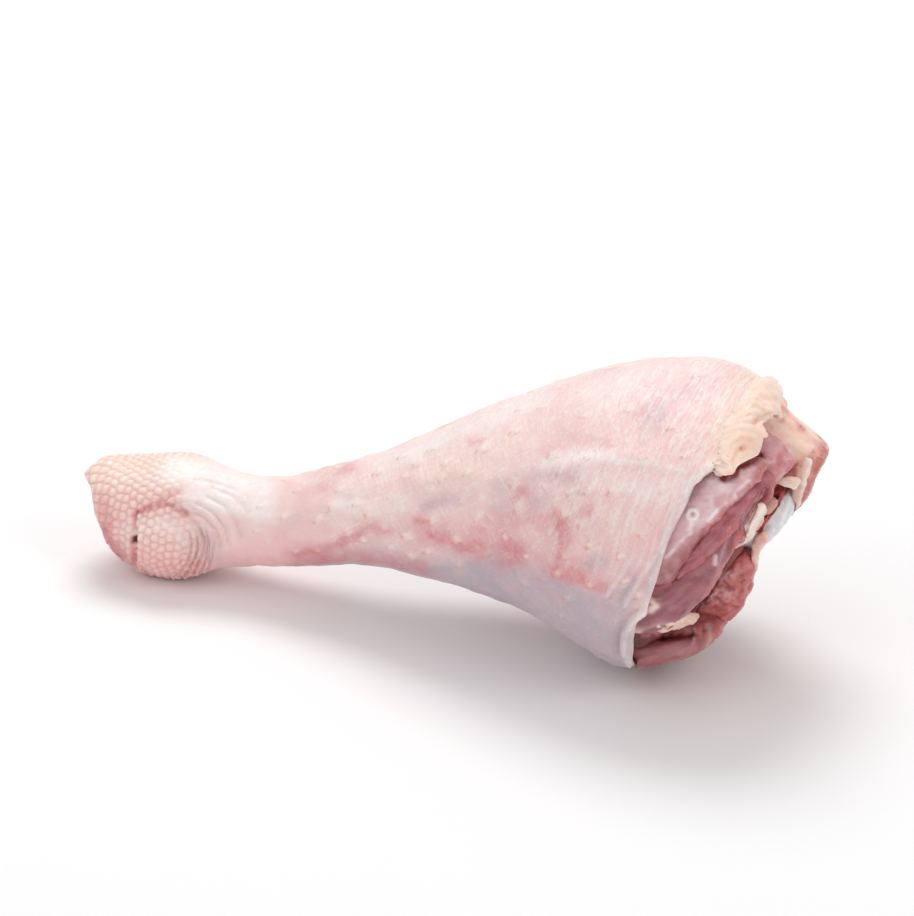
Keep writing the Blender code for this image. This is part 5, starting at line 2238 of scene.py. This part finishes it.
            Mark("film_and_gleam", ((762, 506), (752, 522), (743, 540)), 1.6, 0.7, 0.3),
            Mark("stain_and_painted_light", ((756, 506), (750, 520), (744, 536)), 1.1, 0.4, -0.6, 0.8),
            Mark("stain_and_painted_light", ((765, 512), (758, 526), (750, 543)), 1.2, 0.35, -0.5, 0.8),
        ),
    ),
)
FIRST_SEED = 20
FLAP = SoftSizes(
    "fat_flap", "fat", 0.6, passes=3,
    marks=(Mark("pore", ((742, 448),), 1.6, 0.9), Mark("hollow", ((742, 446),), 9.0, 0.5)),
)


# ---- the studio ----------------------------------------------------------------------------------


@dataclass(frozen=True)
class Lamp:
    """A soft studio light, with its distance and size in metres."""

    name: str
    azimuth: float
    elevation: float
    distance: float
    size: float
    watts: float


class Studio:
    """The floor, the lights and the camera. Its lengths are in metres."""

    FLOOR = 3.2
    LAMPS = (
        Lamp("key", 205.0, 64.0, 1.1, 0.6, 5.6),
        Lamp("fill", -25.0, 40.0, 1.4, 1.0, 2.2),
        Lamp("rim", 70.0, 40.0, 1.3, 0.6, 2.2),
    )
    SKY = 0.60
    AIM = Vector((0.0, 0.0, 0.045))

    def build(self) -> None:
        """Adds them all."""
        bpy.ops.mesh.primitive_grid_add(x_subdivisions=8, y_subdivisions=8, size=self.FLOOR)
        floor = bpy.context.object
        floor.name = "studio_floor"
        floor.data.materials.append(FloorFinish().material())
        floor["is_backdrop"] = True
        for lamp in self.LAMPS:
            self._light(lamp)
        world = bpy.data.worlds.new("soft_room")
        world.use_nodes = True
        background = world.node_tree.nodes["Background"]
        background.inputs["Color"].default_value = (1.0, 1.0, 1.0, 1.0)
        background.inputs["Strength"].default_value = self.SKY
        bpy.context.scene.world = world
        bpy.context.scene.view_settings.view_transform = "Standard"
        VIEW.place_camera()

    @staticmethod
    def _light(lamp: Lamp) -> None:
        """Adds a light that faces the object's middle.

        Args:
            lamp: the light.
        """
        data = bpy.data.lights.new(lamp.name, "AREA")
        data.shape = "DISK"
        data.size = lamp.size
        data.energy = lamp.watts
        light = bpy.data.objects.new(lamp.name, data)
        bpy.context.scene.collection.objects.link(light)
        turn, tilt = math.radians(lamp.azimuth), math.radians(lamp.elevation)
        way = Vector((math.sin(turn) * math.cos(tilt), -math.cos(turn) * math.cos(tilt), math.sin(tilt)))
        light.location = Studio.AIM + way * lamp.distance
        light.rotation_euler = way.to_track_quat("Z", "Y").to_euler()


Finish = SkinFinish | FleshFinish | FatFinish | GristleFinish
FINISHES: dict[str, Finish] = {
    "skin": SkinFinish(),
    "fat": FatFinish(),
    "pink_fat": FatFinish("pink_fat", tint(246, 216, 200), tint(226, 160, 146)),
    "bone": GristleFinish("wet_bone", tint(216, 220, 230), tint(236, 230, 226), stain_and_painted_light=tint(150, 30, 20)),
    "sinew": GristleFinish("white_sinew", tint(248, 230, 216), tint(236, 200, 180)),
    "pink_sinew": GristleFinish("pink_sinew", tint(244, 212, 198), tint(230, 186, 172)),
    "silverskin": FleshFinish(
        "silverskin", tint(230, 184, 188), tint(214, 160, 166), film_and_gleam=tint(246, 230, 230),
        fat=tint(255, 244, 242), blood_and_shade=tint(136, 36, 40), film_share=0.30, gloss=Gloss.WET_GRISTLE,
        fibre_rise=0.10,
    ),
    "flesh": FleshFinish("flesh", tint(186, 106, 108), tint(158, 78, 82)),
    "rosy_flesh": FleshFinish("rosy_flesh", tint(234, 168, 170), tint(212, 136, 142)),
    "mauve_flesh": FleshFinish("mauve_flesh", tint(168, 98, 108), tint(144, 76, 86), fat=tint(250, 222, 212)),
    "red_flesh": FleshFinish("red_flesh", tint(222, 138, 132), tint(194, 100, 96), film_share=0.12),
    "band_flesh": FleshFinish("band_flesh", tint(186, 106, 114), tint(156, 76, 84), film_share=0.15),
    "joint_flesh": FleshFinish(
        "joint_flesh", tint(188, 52, 38), tint(132, 24, 18), film_share=0.05, gloss=Gloss.WET_GRISTLE
    ),
    "bare_bone": GristleFinish("bare_bone", tint(212, 166, 146), tint(188, 132, 114)),
    "deep_flesh": FleshFinish("deep_flesh", tint(132, 46, 44), tint(88, 22, 22), film_share=0.08),
    "fascia": FleshFinish(
        "fascia", tint(255, 220, 203), tint(249, 196, 178), film_and_gleam=tint(254, 231, 216), film_share=0.5,
        cut=tint(188, 88, 88), fibre_rise=0.12,
    ),
}


def main() -> None:
    """Builds and dresses every piece."""
    logging.basicConfig(level=logging.INFO, format="%(message)s")
    Studio().build()
    looks = {name: finish.material() for name, finish in FINISHES.items()}
    skin = SkinSleeve()
    skin.build()
    skin.dress()
    Bench.paint(skin.piece, looks["skin"])
    for number, sizes in enumerate((*FLESH_PIECES, FLAP)):
        soft = (FatFlap if sizes is FLAP else SoftPiece)(sizes, FIRST_SEED + number)
        soft.build()
        soft.dress()
        if isinstance(soft, FatFlap):
            soft.settle(skin.piece)
        Bench.paint(soft.piece, looks[sizes.look or sizes.slot])
    sizes = {"cad": [list(c) for c in CAD_BOX], "visual": [list(c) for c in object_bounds()]}


if __name__ == "__main__":
    main()
